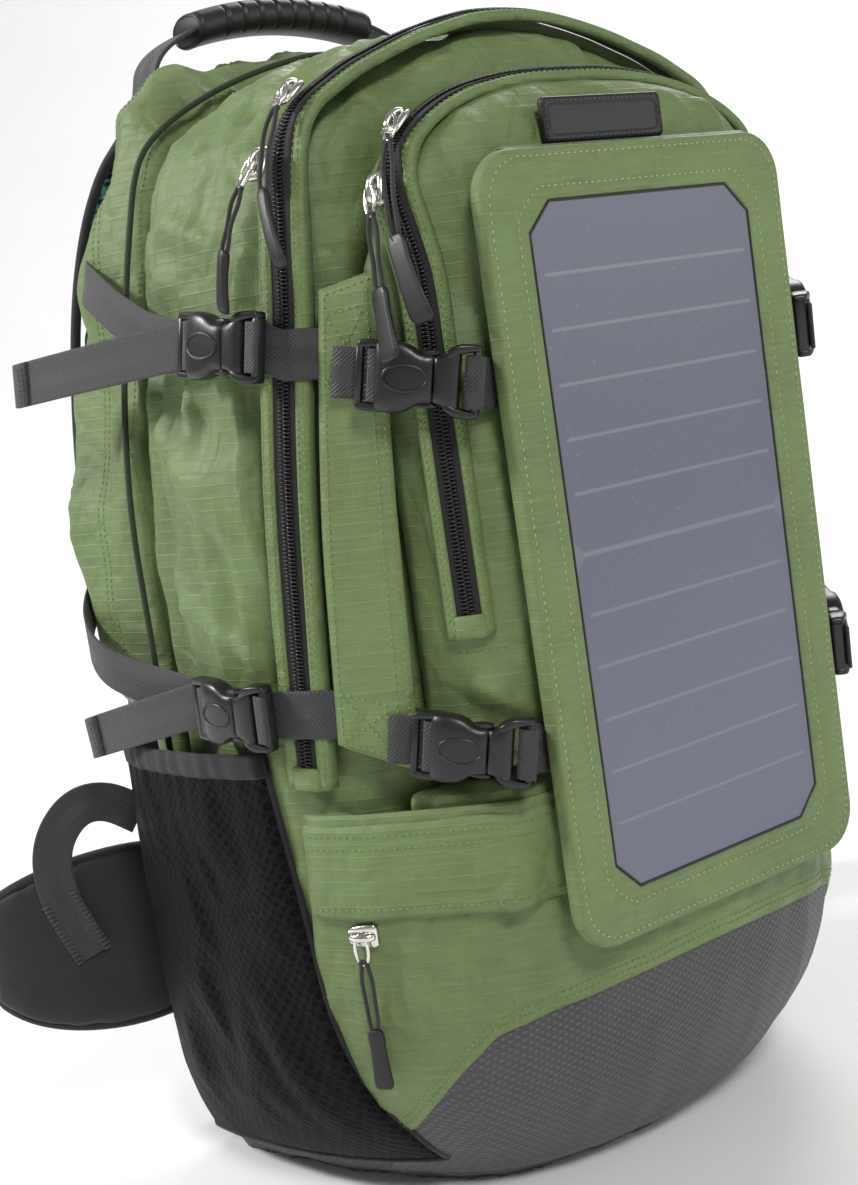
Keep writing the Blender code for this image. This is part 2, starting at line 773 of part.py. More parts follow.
def main_zip_y(z):
    return -67 - 16 * clamp((z - 197) / 200, 0, 1)


def front_zip_y(z):
    return -129 + 13 * clamp((z - 400) / 72, 0, 1)


def make_zips():
    levels = (200, 240, 280, 320, 360, 395, 410, 423, 436, 449, 460, 470, 477, 483, 489, 494, 500, 503)
    zip_track("main_zip_track", MAIN_ARCH, main_zip_y, 200, levels, 2.4, 11,
              lambda y, z: main_z(y, z) - z)
    levels = (256, 290, 325, 360, 395, 410, 425, 434, 443, 454, 462, 467, 471, 472)
    zip_track("front_zip_track", FRONT_ARCH, front_zip_y, 256, levels, 1.9, 9, lambda y, z: 0.0)


def make_slider(name, centre, tangent, normal, hang, pull_length, origin, pull_width=7):
    """A slider with its hanging pull as one piece."""
    t = Vector(tangent).normalized()
    n = Vector(normal).normalized()
    s = t.cross(n).normalized()
    c = Vector(centre)
    drop = Vector(hang).normalized()
    side = drop.cross(n).normalized()
    lie = side.cross(drop).normalized()
    if lie.dot(n) < 0:
        lie = -lie
    rings = []
    for k, (along, half_width, low, high) in enumerate((
            (-6, 2.6, 0.0, 2.6), (-4, 4.0, 0.0, 4.6), (4, 4.6, 0.0, 4.6), (6, 3.0, 0.0, 2.6))):
        mid = c + t * along
        rings.append([tuple(mid - s * half_width + n * low), tuple(mid + s * half_width + n * low),
                      tuple(mid + s * half_width + n * high), tuple(mid - s * half_width + n * high)])
    body = loft(name, rings, NICKEL, origin=origin)
    start = c + n * 2.4
    outline = []
    for dist, half_width, thick in ((-2, 1.8, 1.6), (6, 2.2, 1.6), (12, 1.6, 1.8),
                                    (pull_length * 0.45, 1.6, 1.8), (pull_length * 0.5, pull_width / 2, 3.4),
                                    (pull_length - 4, pull_width / 2, 3.4),
                                    (pull_length, pull_width / 2 - 1.5, 2.0)):
        mid = start + drop * dist + lie * 1.0
        outline.append([tuple(mid - side * half_width - lie * thick / 2 + lie * 1.2),
                        tuple(mid + side * half_width - lie * thick / 2 + lie * 1.2),
                        tuple(mid + side * half_width + lie * thick / 2 + lie * 1.2),
                        tuple(mid - side * half_width + lie * thick / 2 + lie * 1.2)])
    pull = loft(name + "_pull_tool", outline, NICKEL)
    pull.hide_render = True
    pull.display_type = "WIRE"
    unite(body, pull)


# Centres (x, z) of the arcs that the two zips follow round the left shoulder.
MAIN_TOP_ARC = (-46, 380)
MAIN_SIDE_ARC = (-72, 417)
FRONT_TOP_ARC = (-44.6, 396)
FRONT_SIDE_ARC = (-68, 422)


def make_sliders():
    for name, z, y, table, arc, length, hang in (
            ("main_zip_slider_upper", 470, -83.5, MAIN_ARCH, MAIN_TOP_ARC, 48, (-0.40, -0.58, -0.72)),
            ("main_zip_slider_lower", 446, -83, MAIN_ARCH, MAIN_SIDE_ARC, 44, (-0.40, 0.22, -0.9)),
            ("front_zip_slider_upper", 451, -121, FRONT_ARCH, FRONT_TOP_ARC, 46, (-0.38, -0.48, -0.80)),
            ("front_zip_slider_lower", 430, -123.5, FRONT_ARCH, FRONT_SIDE_ARC, 40, (-0.30, 0.1, -0.95))):
        x = -lerp_table(table, z)
        radial = Vector((x - arc[0], 0, z - arc[1])).normalized()
        tangent = Vector((-radial.z, 0, radial.x))
        centre = Vector((x, y, z)) + radial * 5.1
        pivot = (arc[0], y, arc[1]) if "upper" in name else tuple(centre)
        make_slider(name, centre, tangent, radial, hang, length, pivot)
    x, y, nx, ny = smooth_side(-80, 138)
    normal = Vector((-nx, ny, 0))
    tangent = Vector((-ny, -nx, 0))
    centre = Vector((-x, y, 138)) + normal * 0.6
    make_slider("lower_zip_slider", centre, tangent, normal, (-0.0, 0, -1), 66, tuple(centre), 9)


# ---------------------------------------------------------------- panel, label, handle, straps

def rounded_rect(width, height, radius, steps=3):
    made = []
    for cx, cz, start in ((width / 2 - radius, height / 2 - radius, 0), (radius - width / 2, height / 2 - radius, 90),
                          (radius - width / 2, radius - height / 2, 180), (width / 2 - radius, radius - height / 2, 270)):
        for k in range(steps + 1):
            a = math.radians(start + 90 * k / steps)
            made.append((cx + radius * math.cos(a), cz + radius * math.sin(a)))
    return made


def chamfered_rect(width, height, cut):
    w, h = width / 2, height / 2
    return [(w, h - cut), (w - cut, h), (cut - w, h), (-w, h - cut), (-w, cut - h), (cut - w, -h),
            (w - cut, -h), (w, cut - h)]


def slab(name, outline, cx, cz, y0, y1, mat, origin=None, ease_edge=0.0):
    rings = []
    spans = [(y0, 0), (y1, 0)] if not ease_edge else [(y0, ease_edge), (y0 + ease_edge, 0), (y1 - ease_edge, 0),
                                                     (y1, ease_edge)]
    for y, inset in spans:
        ring = []
        for x, z in outline:
            scale_x = 1 - inset / max(abs(p[0]) for p in outline)
            scale_z = 1 - inset / max(abs(p[1]) for p in outline)
            ring.append((cx + x * scale_x, y, cz + z * scale_z))
        rings.append(ring)
    return loft(name, rings, mat, origin=origin)


PANEL_HINGE = (0, -151, 440.5)


def make_panel():
    frame = slab("panel_frame", rounded_rect(PANEL_WIDTH, PANEL_HEIGHT, 18), 0, PANEL_CENTRE_Z, PANEL_FRONT_Y,
                 PANEL_BACK_Y, GREEN, PANEL_HINGE, 1.2)
    window = slab("window_cutter", chamfered_rect(WINDOW_WIDTH, WINDOW_HEIGHT, WINDOW_CHAMFER), 0, PANEL_CENTRE_Z,
                  PANEL_FRONT_Y - 3, PANEL_FRONT_Y + WINDOW_DEPTH, GREY)
    window.hide_render = True
    window.display_type = "WIRE"
    subtract(frame, window)
    slab("solar_laminate", chamfered_rect(WINDOW_WIDTH - 0.8, WINDOW_HEIGHT - 0.8, WINDOW_CHAMFER), 0,
         PANEL_CENTRE_Z, PANEL_FRONT_Y + 0.8, PANEL_FRONT_Y + 0.8 + LAMINATE_THICKNESS, LAMINATE, PANEL_HINGE)
    slab("junction_box", rounded_rect(56, 26, 4, 2), 0, 398, PANEL_BACK_Y + 0.3, PANEL_BACK_Y + 6.6, ACETAL,
         PANEL_HINGE, 0.8)
    slab("label_patch", rounded_rect(66, 18, 3, 2), -4, 450.5, -143.6, -140.5, RUBBER, None, 0.6)


HANDLE_Y = 80
HANDLE_AXIS_Z = 512


def make_handle():
    ends = [(78, 511), (76.5, 517), (71, 523.5), (62, 529)]
    span = [(50 * k / 6, 540.5 - 6.5 * (k / 6) ** 2) for k in range(6, 0, -1)]
    right = ends + span
    path = [(-x, HANDLE_Y + 2, z) for x, z in right] + [(0, HANDLE_Y + 2, 540.5)]
    path += [(x, HANDLE_Y + 2, z) for x, z in reversed(right)]
    ribbon("handle_webbing", path, (0, 1, 0), 22, 1.8, BLACK_WEB, (0, HANDLE_Y + 2, HANDLE_AXIS_Z))
    rings = []
    steps = 10
    for i in range(13):
        x = -50 + 100 * i / 12
        centre_z = 540.5 - 6.5 * (x / 50) ** 2
        radius = 8.2 if 0 < i < 12 else 6.4
        outer = []
        for k in range(steps):
            a = 2 * math.pi * k / steps
            outer.append((x, HANDLE_Y + 2 + 13.5 * (radius / 8.2) * math.cos(a), centre_z + radius * math.sin(a)))
        rings.append(outer)
    grip = loft("handle_grip", rings, RUBBER, smooth=True, origin=(0, HANDLE_Y + 2, HANDLE_AXIS_Z))
    hollow = []
    for i in range(13):
        x = -53 + 106 * i / 12
        centre_z = 540.5 - 6.5 * (x / 50) ** 2
        hollow.append([(x, HANDLE_Y + 2 - 11.5, centre_z - 1.5), (x, HANDLE_Y + 2 + 11.5, centre_z - 1.5),
                       (x, HANDLE_Y + 2 + 11.5, centre_z + 1.5), (x, HANDLE_Y + 2 - 11.5, centre_z + 1.5)])
    tool = loft("grip_bore", hollow, RUBBER)
    tool.hide_render = True
    tool.display_type = "WIRE"
    subtract(grip, tool)


def padded_strip(name, path, mat, origin=None):
    """Padding along path points (centre, half width, half thickness, across, normal)."""
    rings = []
    for centre, half_width, half_thick, across, normal in path:
        c = Vector(centre)
        a = Vector(across).normalized()
        n = Vector(normal).normalized()
        ring = []
        for da, dn in ((-1, -0.35), (-0.82, -1), (0.82, -1), (1, -0.35), (1, 0.35), (0.82, 1), (-0.82, 1),
                       (-1, 0.35)):
            ring.append(tuple(c + a * (da * half_width) + n * (dn * half_thick)))
        rings.append(ring)
    return loft(name, rings, mat, origin=origin)


SHOULDER_AXIS = (111, 494)
SHOULDER_PATH = [(50, 118, 490, 26), (52, 134, 478, 28), (58, 147, 452, 30), (66, 154, 415, 31), (74, 156, 370, 31),
                 (82, 153, 325, 30), (90, 146, 282, 28), (97, 138, 246, 24), (100, 134, 228, 17)]


def make_shoulder(side, tag):
    path = []
    count = len(SHOULDER_PATH)
    for i, (x, y, z, half_width) in enumerate(SHOULDER_PATH):
        a = SHOULDER_PATH[max(0, i - 1)]
        b = SHOULDER_PATH[min(count - 1, i + 1)]
        along = Vector((side * (b[0] - a[0]), b[1] - a[1], b[2] - a[2])).normalized()
        across = Vector((1, 0, 0))
        across = (across - along * across.dot(along)).normalized()
        normal = along.cross(across)
        path.append(((side * x, y, z), half_width, 6.5, across, normal))
    padded_strip("shoulder_pad_" + tag, path, PADDING, (0, SHOULDER_AXIS[0], SHOULDER_AXIS[1]))
    end = SHOULDER_PATH[-1]
    before = SHOULDER_PATH[-2]
    along = Vector((side * (end[0] - before[0]), end[1] - before[1], end[2] - before[2])).normalized()
    across = Vector((1, 0, 0))
    across = (across - along * across.dot(along)).normalized()
    normal = Vector((0, 1, 0))
    origin = Vector((side * end[0], end[1], end[2])) + along * 1.0
    lock = frame_at(origin, along, normal)
    outline = [(0, -14), (0, 14), (20, 15), (24, 13.5), (24, -13.5), (20, -15)]
    verts, faces = prism(lock, outline, -3.2, 3.2)
    body = add("ladder_lock_" + tag, verts, faces, ACETAL, origin=(0, SHOULDER_AXIS[0], SHOULDER_AXIS[1]))
    subtract(body, framed_box("lock_slot_a_" + tag, lock, (6, -11, -9), (10.4, 11, 9)))
    subtract(body, framed_box("lock_slot_b_" + tag, lock, (14.4, -11, -9), (19, 11, 9)))
    web = [at(lock, 60, 0, 12.0), at(lock, 34, 0, 8.8), at(lock, 12, 0, 7.4), at(lock, 8.6, 0, 6.2)]
    web += [at(lock, 8.0, 0, 2.0), at(lock, 8.0, 0, -3.4), at(lock, 9.2, 0, -4.8), at(lock, 15.8, 0, -4.8),
            at(lock, 16.9, 0, -3.4), at(lock, 16.9, 0, 3.2), at(lock, 18.2, 0, 4.8), at(lock, 27, 0, 4.8)]
    web += [(side * 116, 121, 184), (side * 126, 108, 170), (side * 131, 101.0, 160)]
    count = len(web)
    flat = lock.to_3x3() @ Vector((0, 1, 0))
    flat = flat if flat.x > 0 else -flat
    across_list = []
    for i in range(count):
        t = clamp((i - 12) / 3, 0, 1)
        across_list.append(flat.lerp(Vector((0.83, side * -0.4, side * 0.25)), t))
    ribbon("lower_webbing_" + tag, web, across_list, WEBBING, WEB_THICK, BLACK_WEB)


HIP_AXIS = (98, 114)
HIP_Z = 100


def make_hip(side, tag):
    """A padded hip fin with its webbing sewn on, running back behind the bag to the buckle."""
    path = []
    for x, y, half_height in ((96, 116, 34), (120, 118, 44), (150, 121, 46), (178, 128, 42), (198, 138, 34),
                              (206, 150, 24)):
        path.append([x, y, half_height])
    made = []
    count = len(path)
    for i, (x, y, half_height) in enumerate(path):
        a = path[max(0, i - 1)]
        b = path[min(count - 1, i + 1)]
        along = Vector((side * (b[0] - a[0]), b[1] - a[1], 0)).normalized()
        normal = Vector((along.y, -along.x, 0))
        made.append(((side * x, y, HIP_Z + 0.06 * (x - 96)), half_height, 5.0, (0, 0, 1), normal))
    padded_strip("hip_belt_" + tag, made, PADDING, (side * HIP_AXIS[0], HIP_AXIS[1], HIP_Z))


HIP_WEB = 25
HIP_BUCKLE_APART = 11


def make_hip_buckle():
    frame = frame_at((-HIP_BUCKLE_APART, 169.6, 100), (1, 0, 0), (0, 1, 0))
    h = 17
    outline = [(-34, -h + 2), (-34, h - 2), (-32, h), (0, h), (4, h - 2), (4, -h + 2), (0, -h), (-32, -h)]
    verts, faces = prism(frame, outline, 0, 11)
    body = add("hip_buckle_female", verts, faces, ACETAL, origin=(-98, 114, 100))
    subtract(body, framed_box("hip_cavity", frame, (-14, -h + 2, 2.4), (6, h - 2, 8.6)))
    subtract(body, framed_box("hip_slot_b", frame, (-21.5, -13.5, -3), (-17, 13.5, 14)))
    female_frame = frame
    frame = frame_at((HIP_BUCKLE_APART, 169.6, 100), (1, 0, 0), (0, 1, 0))
    outline = [(28, -h + 1.5), (28, h - 1.5), (25, h), (6, h - 0.5), (4.5, h - 1.5), (4.5, -h + 1.5), (6, -h + 0.5),
               (25, -h)]
    verts, faces = prism(frame, outline, 0.4, 11)
    body = add("hip_buckle_male", verts, faces, ACETAL, origin=(98, 114, 100))
    verts, faces = prism(frame, [(8, 3 - h), (8, h - 3), (-13, h - 5), (-13, 5 - h)], 2.9, 8.1)
    unite(body, cutter("hip_tongue", verts, faces))
    subtract(body, framed_box("hip_male_slot", frame, (17.5, -13.5, -3), (22.5, 13.5, 14)))
    for side, tag, slot_u, sign, frame in ((-1, "left", -19.3, -1, female_frame), (1, "right", 20.0, 1, frame)):
        path = [(side * 200, 141, 106), (side * 205.2, 149, 106), (side * 204, 157, 106), (side * 196, 164, 105.6),
                (side * 178, 167.6, 104.4), (side * 120, 168.0, 102)]
        path += [at(frame, slot_u + sign * 10, 0, -1.3), at(frame, slot_u + sign * 1.2, 0, -1.3),
                 at(frame, slot_u, 0, 0.0), at(frame, slot_u, 0, 11.4), at(frame, slot_u + sign * 1.4, 0, 12.4),
                 at(frame, slot_u + sign * 22, 0, 12.4)]
        web = ribbon("hip_web_tool_" + tag, path, (0, 0, 1), HIP_WEB, 1.6, BLACK_WEB)
        web.hide_render = True
        web.display_type = "WIRE"
        unite(bpy.data.objects["hip_belt_" + tag], web)


def make_buckles():
    for side, tag in ((-1, "left"), (1, "right")):
        upper = side_buckle_frame(side, *SIDE_UPPER)
        lower = side_buckle_frame(side, *SIDE_LOWER)
        corner_up = corner_frame(side, *CORNER_UPPER)
        corner_low = corner_frame(side, *CORNER_LOWER)
        for level, frame in (("upper", upper), ("lower", lower)):
            make_female("side_buckle_female_" + level + "_" + tag, frame)
            make_male("side_buckle_male_" + level + "_" + tag, frame)
        for level, frame in (("upper", corner_up), ("lower", corner_low)):
            make_female("corner_buckle_female_" + level + "_" + tag, frame)
            make_male("corner_buckle_male_" + level + "_" + tag, frame)
        rear_strap("rear_strap_upper_" + tag, side, upper,
                   [(90, 428, 1.8), (76, 422, 2.6), (58, 413, 2.8), (40, 404, 2.8), (22, 397, 2.8),
                    (6, 391, 2.6)], (side * 168, 86, 379))
        rear_strap("rear_strap_lower_" + tag, side, lower,
                   [(91, 276, 1.8), (84, 262, 6.0), (70, 249, 7.0), (46, 241, 5.0), (26, 238, 3.2)],
                   (side * 166, 78, 214))
        wing_strap("wing_strap_upper_" + tag, side, upper, corner_up, 374, 364)
        wing_strap("wing_strap_lower_" + tag, side, lower, corner_low, 231, 219)
    front_strap("front_strap_upper", *CORNER_UPPER)
    front_strap("front_strap_lower", *CORNER_LOWER)


def main():
    for obj in list(bpy.data.objects):
        bpy.data.objects.remove(obj, do_unlink=True)
    make_boot()
    make_lower_pocket()
    make_front_pocket()
    make_main()
    make_rear()
    make_back_pad()
    for side, tag in ((-1, "left"), (1, "right")):
        make_wing(side, tag)
        make_mesh_pocket(side, tag)
        make_shoulder(side, tag)
        make_hip(side, tag)
    make_flap()
    make_buckles()
    make_hip_buckle()
    make_zips()
    make_sliders()
    make_panel()
    make_handle()


main()
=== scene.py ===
"""Solar backpack looks: soft shells, webbing, buckles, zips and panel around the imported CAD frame."""

import math

import bmesh
import bpy
import numpy as np
from mathutils import Matrix, Vector, noise
from mathutils.bvhtree import BVHTree


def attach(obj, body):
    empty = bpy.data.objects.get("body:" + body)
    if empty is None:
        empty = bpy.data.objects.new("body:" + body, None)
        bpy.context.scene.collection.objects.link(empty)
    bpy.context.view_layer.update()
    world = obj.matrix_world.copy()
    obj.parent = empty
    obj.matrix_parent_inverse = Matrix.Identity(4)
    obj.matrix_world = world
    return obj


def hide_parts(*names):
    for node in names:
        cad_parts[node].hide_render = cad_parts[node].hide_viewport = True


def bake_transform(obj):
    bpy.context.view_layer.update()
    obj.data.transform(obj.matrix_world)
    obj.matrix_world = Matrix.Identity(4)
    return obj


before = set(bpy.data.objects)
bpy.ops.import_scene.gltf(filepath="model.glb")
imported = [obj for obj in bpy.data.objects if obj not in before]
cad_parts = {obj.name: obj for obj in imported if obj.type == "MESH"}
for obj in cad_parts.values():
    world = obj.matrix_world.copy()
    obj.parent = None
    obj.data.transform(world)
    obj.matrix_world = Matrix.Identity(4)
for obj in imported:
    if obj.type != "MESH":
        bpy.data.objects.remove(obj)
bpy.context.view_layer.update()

MM = 0.001

# Plan outlines of the filled bag at three heights (right half, front centre to rear centre), in mm.
CHEST = [(0, -140), (40, -140), (72, -139), (92, -134), (103, -124), (118, -106), (133, -88),
         (142, -70), (148, -45), (150, -10), (150, 38), (146, 70), (134, 90), (118, 96), (0, 96)]
BELLY = [(0, -144), (36, -142.5), (68, -136), (94, -124), (112, -110), (127, -94), (138, -76),
         (145, -58), (149, -35), (150, -8), (150, 38), (147, 70), (138, 88), (122, 96), (0, 96)]
BASE = [(0, -84), (26, -82), (48, -77), (66, -69), (80, -58), (91, -42), (101, -24),
        (110, -6), (118, 12), (125, 30), (131, 50), (133, 68), (128, 82), (114, 90), (0, 92)]
BELLY_Z = 110
CHEST_Z = 200
TAPER_Z = 300
TAPER_SPAN = 125
REAR_TAPER = 0.17
FRONT_ARCH = [(400, 113), (425, 104), (443, 96), (454, 85), (462, 70), (467, 55), (471, 32), (472, 14)]
MAIN_ARCH = [(410, 150), (423, 136), (449, 125), (470, 109), (483, 85), (494, 55), (500, 32), (503, 14)]
REAR_ARCH = [(450, 150), (466, 118), (480, 112), (493, 102), (508, 79), (518, 50), (521, 30), (522, 14)]
MAIN_FRONT_Y = -94.7
MAIN_BACK_Y = 37.7
REAR_FRONT_Y = 38.3
REAR_BACK_Y = 96
FRONT_BACK_Y = -95.3
PAD_FRONT_Y = 96.4
BOOT_EDGE_LIFT = 1.5
BOOT_SIDE_Z = 26
BOOT_FRONT_Z = 106
PANEL_WIDTH = 168
PANEL_HEIGHT = 317
PANEL_CENTRE_Z = 281
PANEL_FRONT_Y = -155
PANEL_BACK_Y = -147.5
WINDOW_WIDTH = 124
WINDOW_HEIGHT = 276
WINDOW_CHAMFER = 12
WEBBING = 20
WEB_THICK = 1.4
SIDES = ((-1, "left"), (1, "right"))
SIDE_UPPER = (-58, 381, math.radians(7), 5.2)
SIDE_LOWER = (-40, 233, math.radians(3), 5.2)
CORNER_UPPER = (359, math.radians(12))
CORNER_LOWER = (214, math.radians(11))
CORNER_PLAN = (105.2, -132.2)
CORNER_DIR = (-0.68, -0.733)
LADDER_PATH = [(-13.2, -1.4), (-13.2, 6.4), (-14.2, 7.0), (-19.6, 7.0), (-20.7, 6.2), (-20.7, 0.3), (-22.0, -1.0)]
PLUG_PATH = [(16.7, -0.6), (16.7, 6.3), (18.0, 7.5), (24.0, 7.5)]
MAIN_TOP_ARC = (-46, 380)
MAIN_SIDE_ARC = (-72, 417)
FRONT_TOP_ARC = (-44.6, 396)
FRONT_SIDE_ARC = (-68, 422)
HANDLE_Y = 82
SHOULDER_PATH = [(50, 118, 490, 26), (52, 134, 478, 28), (58, 147, 452, 30), (66, 154, 415, 31), (74, 156, 370, 31),
                 (82, 153, 325, 30), (90, 146, 282, 28), (97, 138, 246, 24), (100, 134, 228, 17)]
HIP_PATH = [(96, 116, 34), (120, 118, 44), (150, 121, 46), (178, 128, 42), (198, 138, 34), (206, 150, 24)]
HIP_Z = 100
HIP_BUCKLE_WIDER = 17 / 13.5
HIP_BUCKLE_TALLER = 11 / 9.5
ZIP_STEP = 0.78

# Camera place and directions (m), its lens (mm) and the strength of the even light.
CAMERA_PLACE = (-0.5232, -0.6695, 0.3755)
CAMERA_FORWARD = (0.5959, 0.7902, -0.1429)
CAMERA_UP = (0.2029, 0.0240, 0.9789)
CAMERA_LENS = 53.97
WORLD_LIGHT = 0.24


# ---------------------------------------------------------------- shape of the bag

def clamp(value, low, high):
    return max(low, min(high, value))


def ease(t):
    t = clamp(t, 0, 1)
    return t * t * (3 - 2 * t)


def lerp_table(table, key):
    if key <= table[0][0]:
        return table[0][1]
    for (a, va), (b, vb) in zip(table, table[1:]):
        if key <= b:
            return va + (vb - va) * (key - a) / (b - a)
    return table[-1][1]


def plan(z):
    if z < BELLY_Z:
        f = math.sin(math.pi / 2 * max(0.0, z / BELLY_Z) ** 0.8)
        low, high = BASE, BELLY
    else:
        f = ease((z - BELLY_Z) / (CHEST_Z - BELLY_Z))
        low, high = BELLY, CHEST
    points = []
    for (xa, ya), (xb, yb) in zip(low, high):
        x = xa + (xb - xa) * f
        y = ya + (yb - ya) * f
        back = clamp((y + 130) / 226, 0, 1)
        shrink = REAR_TAPER * math.sqrt(back) * max(0.0, (z - TAPER_Z) / TAPER_SPAN) ** 1.6
        points.append((x * (1 - shrink), y))
    return points


def side_point(y, z):
    line = plan(z)
    for (xa, ya), (xb, yb) in zip(line, line[1:]):
        if ya <= y <= yb and yb > ya:
            t = (y - ya) / (yb - ya)
            return xa + (xb - xa) * t
    return line[-2][0]


def front_y(x, z):
    line = plan(z)
    for (xa, ya), (xb, yb) in zip(line, line[1:]):
        if xa <= abs(x) <= xb:
            return ya + (yb - ya) * (abs(x) - xa) / (xb - xa)
    return line[4][1]


def on_side(side, y, z, off):
    xa = side_point(y - 7, z)
    xb = side_point(y + 7, z)
    length = math.hypot(xb - xa, 14)
    return (side * (side_point(y, z) + off * 14 / length), y - off * (xb - xa) / length, z)


def up_side(side, y, z):
    return (Vector(on_side(side, y, z + 8, 0)) - Vector(on_side(side, y, z - 8, 0))).normalized()


def boot_top(y):
    t = clamp((-58 - y) / 82, 0, 1)
    return BOOT_SIDE_Z + (BOOT_FRONT_Z - BOOT_SIDE_Z) * (1 - math.cos(math.pi * t)) / 2


def main_z(y, z):
    return z + 9 * (y + 85) / 110 * clamp((z - 200) / 300, 0, 1)


def wing_left_y(z):
    return -83 - 13 * (z - 219) / 180


def wing_right_y(z):
    return -108 - 9 * (z - 199) / 204


def main_zip_y(z):
    return -67 - 16 * clamp((z - 197) / 200, 0, 1)


def front_zip_y(z):
    return -129 + 13 * clamp((z - 400) / 72, 0, 1)


def frame_at(origin, along, outward):
    u = Vector(along).normalized()
    w = Vector(outward)
    w = (w - u * w.dot(u)).normalized()
    v = w.cross(u).normalized()
    made = Matrix.Identity(4)
    for row in range(3):
        made[row][0] = u[row]
        made[row][1] = v[row]
        made[row][2] = w[row]
        made[row][3] = origin[row]
    return made


def at(place, u, v, w):
    return place @ Vector((u, v, w))


def side_buckle_frame(side, y, z, tilt, stand_off):
    forward = (Vector(on_side(side, y - 12, z, 0)) - Vector(on_side(side, y + 12, z, 0))).normalized()
    upward = up_side(side, y, z)
    normal = forward.cross(upward)
    if normal.x * side < 0:
        normal = -normal
    origin = Vector(on_side(side, y, z, 0)) + normal * stand_off
    return frame_at(origin, forward * math.cos(tilt) - upward * math.sin(tilt), normal)


def corner_frame(side, z, tilt):
    dx, dy = CORNER_DIR
    along = Vector((side * dx * math.cos(tilt), dy * math.cos(tilt), -math.sin(tilt)))
    return frame_at((side * CORNER_PLAN[0], CORNER_PLAN[1], z), along, Vector((side * -dy, dx, 0)))


def web_path(place, marks):
    """Points on the middle line of webbing through a buckle, from (along, height) marks."""
    return [at(place, u, 0, w) for u, w in marks]


def web_across(place):
    made = place.to_3x3() @ Vector((0, 1, 0))
    return made if made.z > 0 else -made


# ---------------------------------------------------------------- materials

def tone(red, green, blue):
    """Linear colour from display values of 0 to 255."""
    made = []
    for value in (red, green, blue):
        value /= 255
        made.append(value / 12.92 if value <= 0.04045 else ((value + 0.055) / 1.055) ** 2.4)
    return (*made, 1)


class Look:
    """A Principled material and the nodes that drive its colour and relief."""

    def __init__(self, name, roughness, metallic=0.0, sheen=0.0, specular=0.5, coat=0.0, space="UV"):
        self.material = bpy.data.materials.new(name)
        self.material.use_nodes = True
        self.tree = self.material.node_tree
        self.shader = self.tree.nodes["Principled BSDF"]
        self.set("Roughness", roughness)
        self.set("Metallic", metallic)
        self.set("Specular IOR Level", specular)
        self.set("Sheen Weight", sheen)
        self.set("Sheen Roughness", 0.45)
        self.set("Coat Weight", coat)
        self.set("Coat Roughness", 0.25)
        self.where = self.node("ShaderNodeTexCoord").outputs[space]
        self.split = self.node("ShaderNodeSeparateXYZ", Vector=self.where)
        self.x, self.y, self.z = self.split.outputs

    def set(self, socket, value):
        self.shader.inputs[socket].default_value = value

    def node(self, kind, **inputs):
        made = self.tree.nodes.new(kind)
        for name, value in inputs.items():
            self.feed(made.inputs[name.replace("_", " ")], value)
        return made

    def feed(self, socket, value):
        if isinstance(value, bpy.types.NodeSocket):
            self.tree.links.new(value, socket)
        else:
            socket.default_value = value

    def math(self, operation, *values):
        made = self.tree.nodes.new("ShaderNodeMath")
        made.operation = operation
        for socket, value in zip(made.inputs, values):
            self.feed(socket, value)
        return made.outputs[0]

    def between(self, value, low, high, to_low=0.0, to_high=1.0):
        made = self.tree.nodes.new("ShaderNodeMapRange")
        made.interpolation_type = "SMOOTHSTEP"
        for name, number in (("Value", value), ("From Min", low), ("From Max", high), ("To Min", to_low),
                             ("To Max", to_high)):
            self.feed(made.inputs[name], number)
        return made.outputs[0]

    def wave(self, value, pitch, phase=0.0):
        return self.math("SINE", self.math("MULTIPLY_ADD", value, 2 * math.pi / pitch, phase))

    def cloud(self, scale, detail=3.0, stretch=None, rough=0.55):
        """Noise; stretch multiplies each axis first."""
        vector = self.where
        if stretch:
            vector = self.node("ShaderNodeMapping", Vector=self.where, Scale=stretch).outputs[0]
        made = self.node("ShaderNodeTexNoise", Vector=vector, Scale=scale, Detail=detail, Roughness=rough)
        return made.outputs["Fac"]

    def cells(self, pitch, randomness):
        made = self.tree.nodes.new("ShaderNodeTexVoronoi")
        self.feed(made.inputs["Vector"], self.where)
        made.inputs["Scale"].default_value = 1 / pitch
        made.inputs["Randomness"].default_value = randomness
        return made.outputs["Distance"]

    def blend(self, factor, one, two):
        made = self.tree.nodes.new("ShaderNodeMix")
        made.data_type = "RGBA"
        self.feed(made.inputs["Factor"], factor)
        self.feed(made.inputs[6], one)
        self.feed(made.inputs[7], two)
        return made.outputs[2]

    def colour(self, socket):
        self.feed(self.shader.inputs["Base Color"], socket)

    def rough(self, socket):
        self.feed(self.shader.inputs["Roughness"], socket)

    def relief(self, height, distance, strength=1.0):
        """Bump from a height of 0 to 1, distance in mm."""
        made = self.node("ShaderNodeBump", Height=height, Distance=distance * MM, Strength=strength)
        self.feed(self.shader.inputs["Normal"], made.outputs[0])


def shade(colour, factor):
    return (colour[0] * factor, colour[1] * factor, colour[2] * factor, 1)


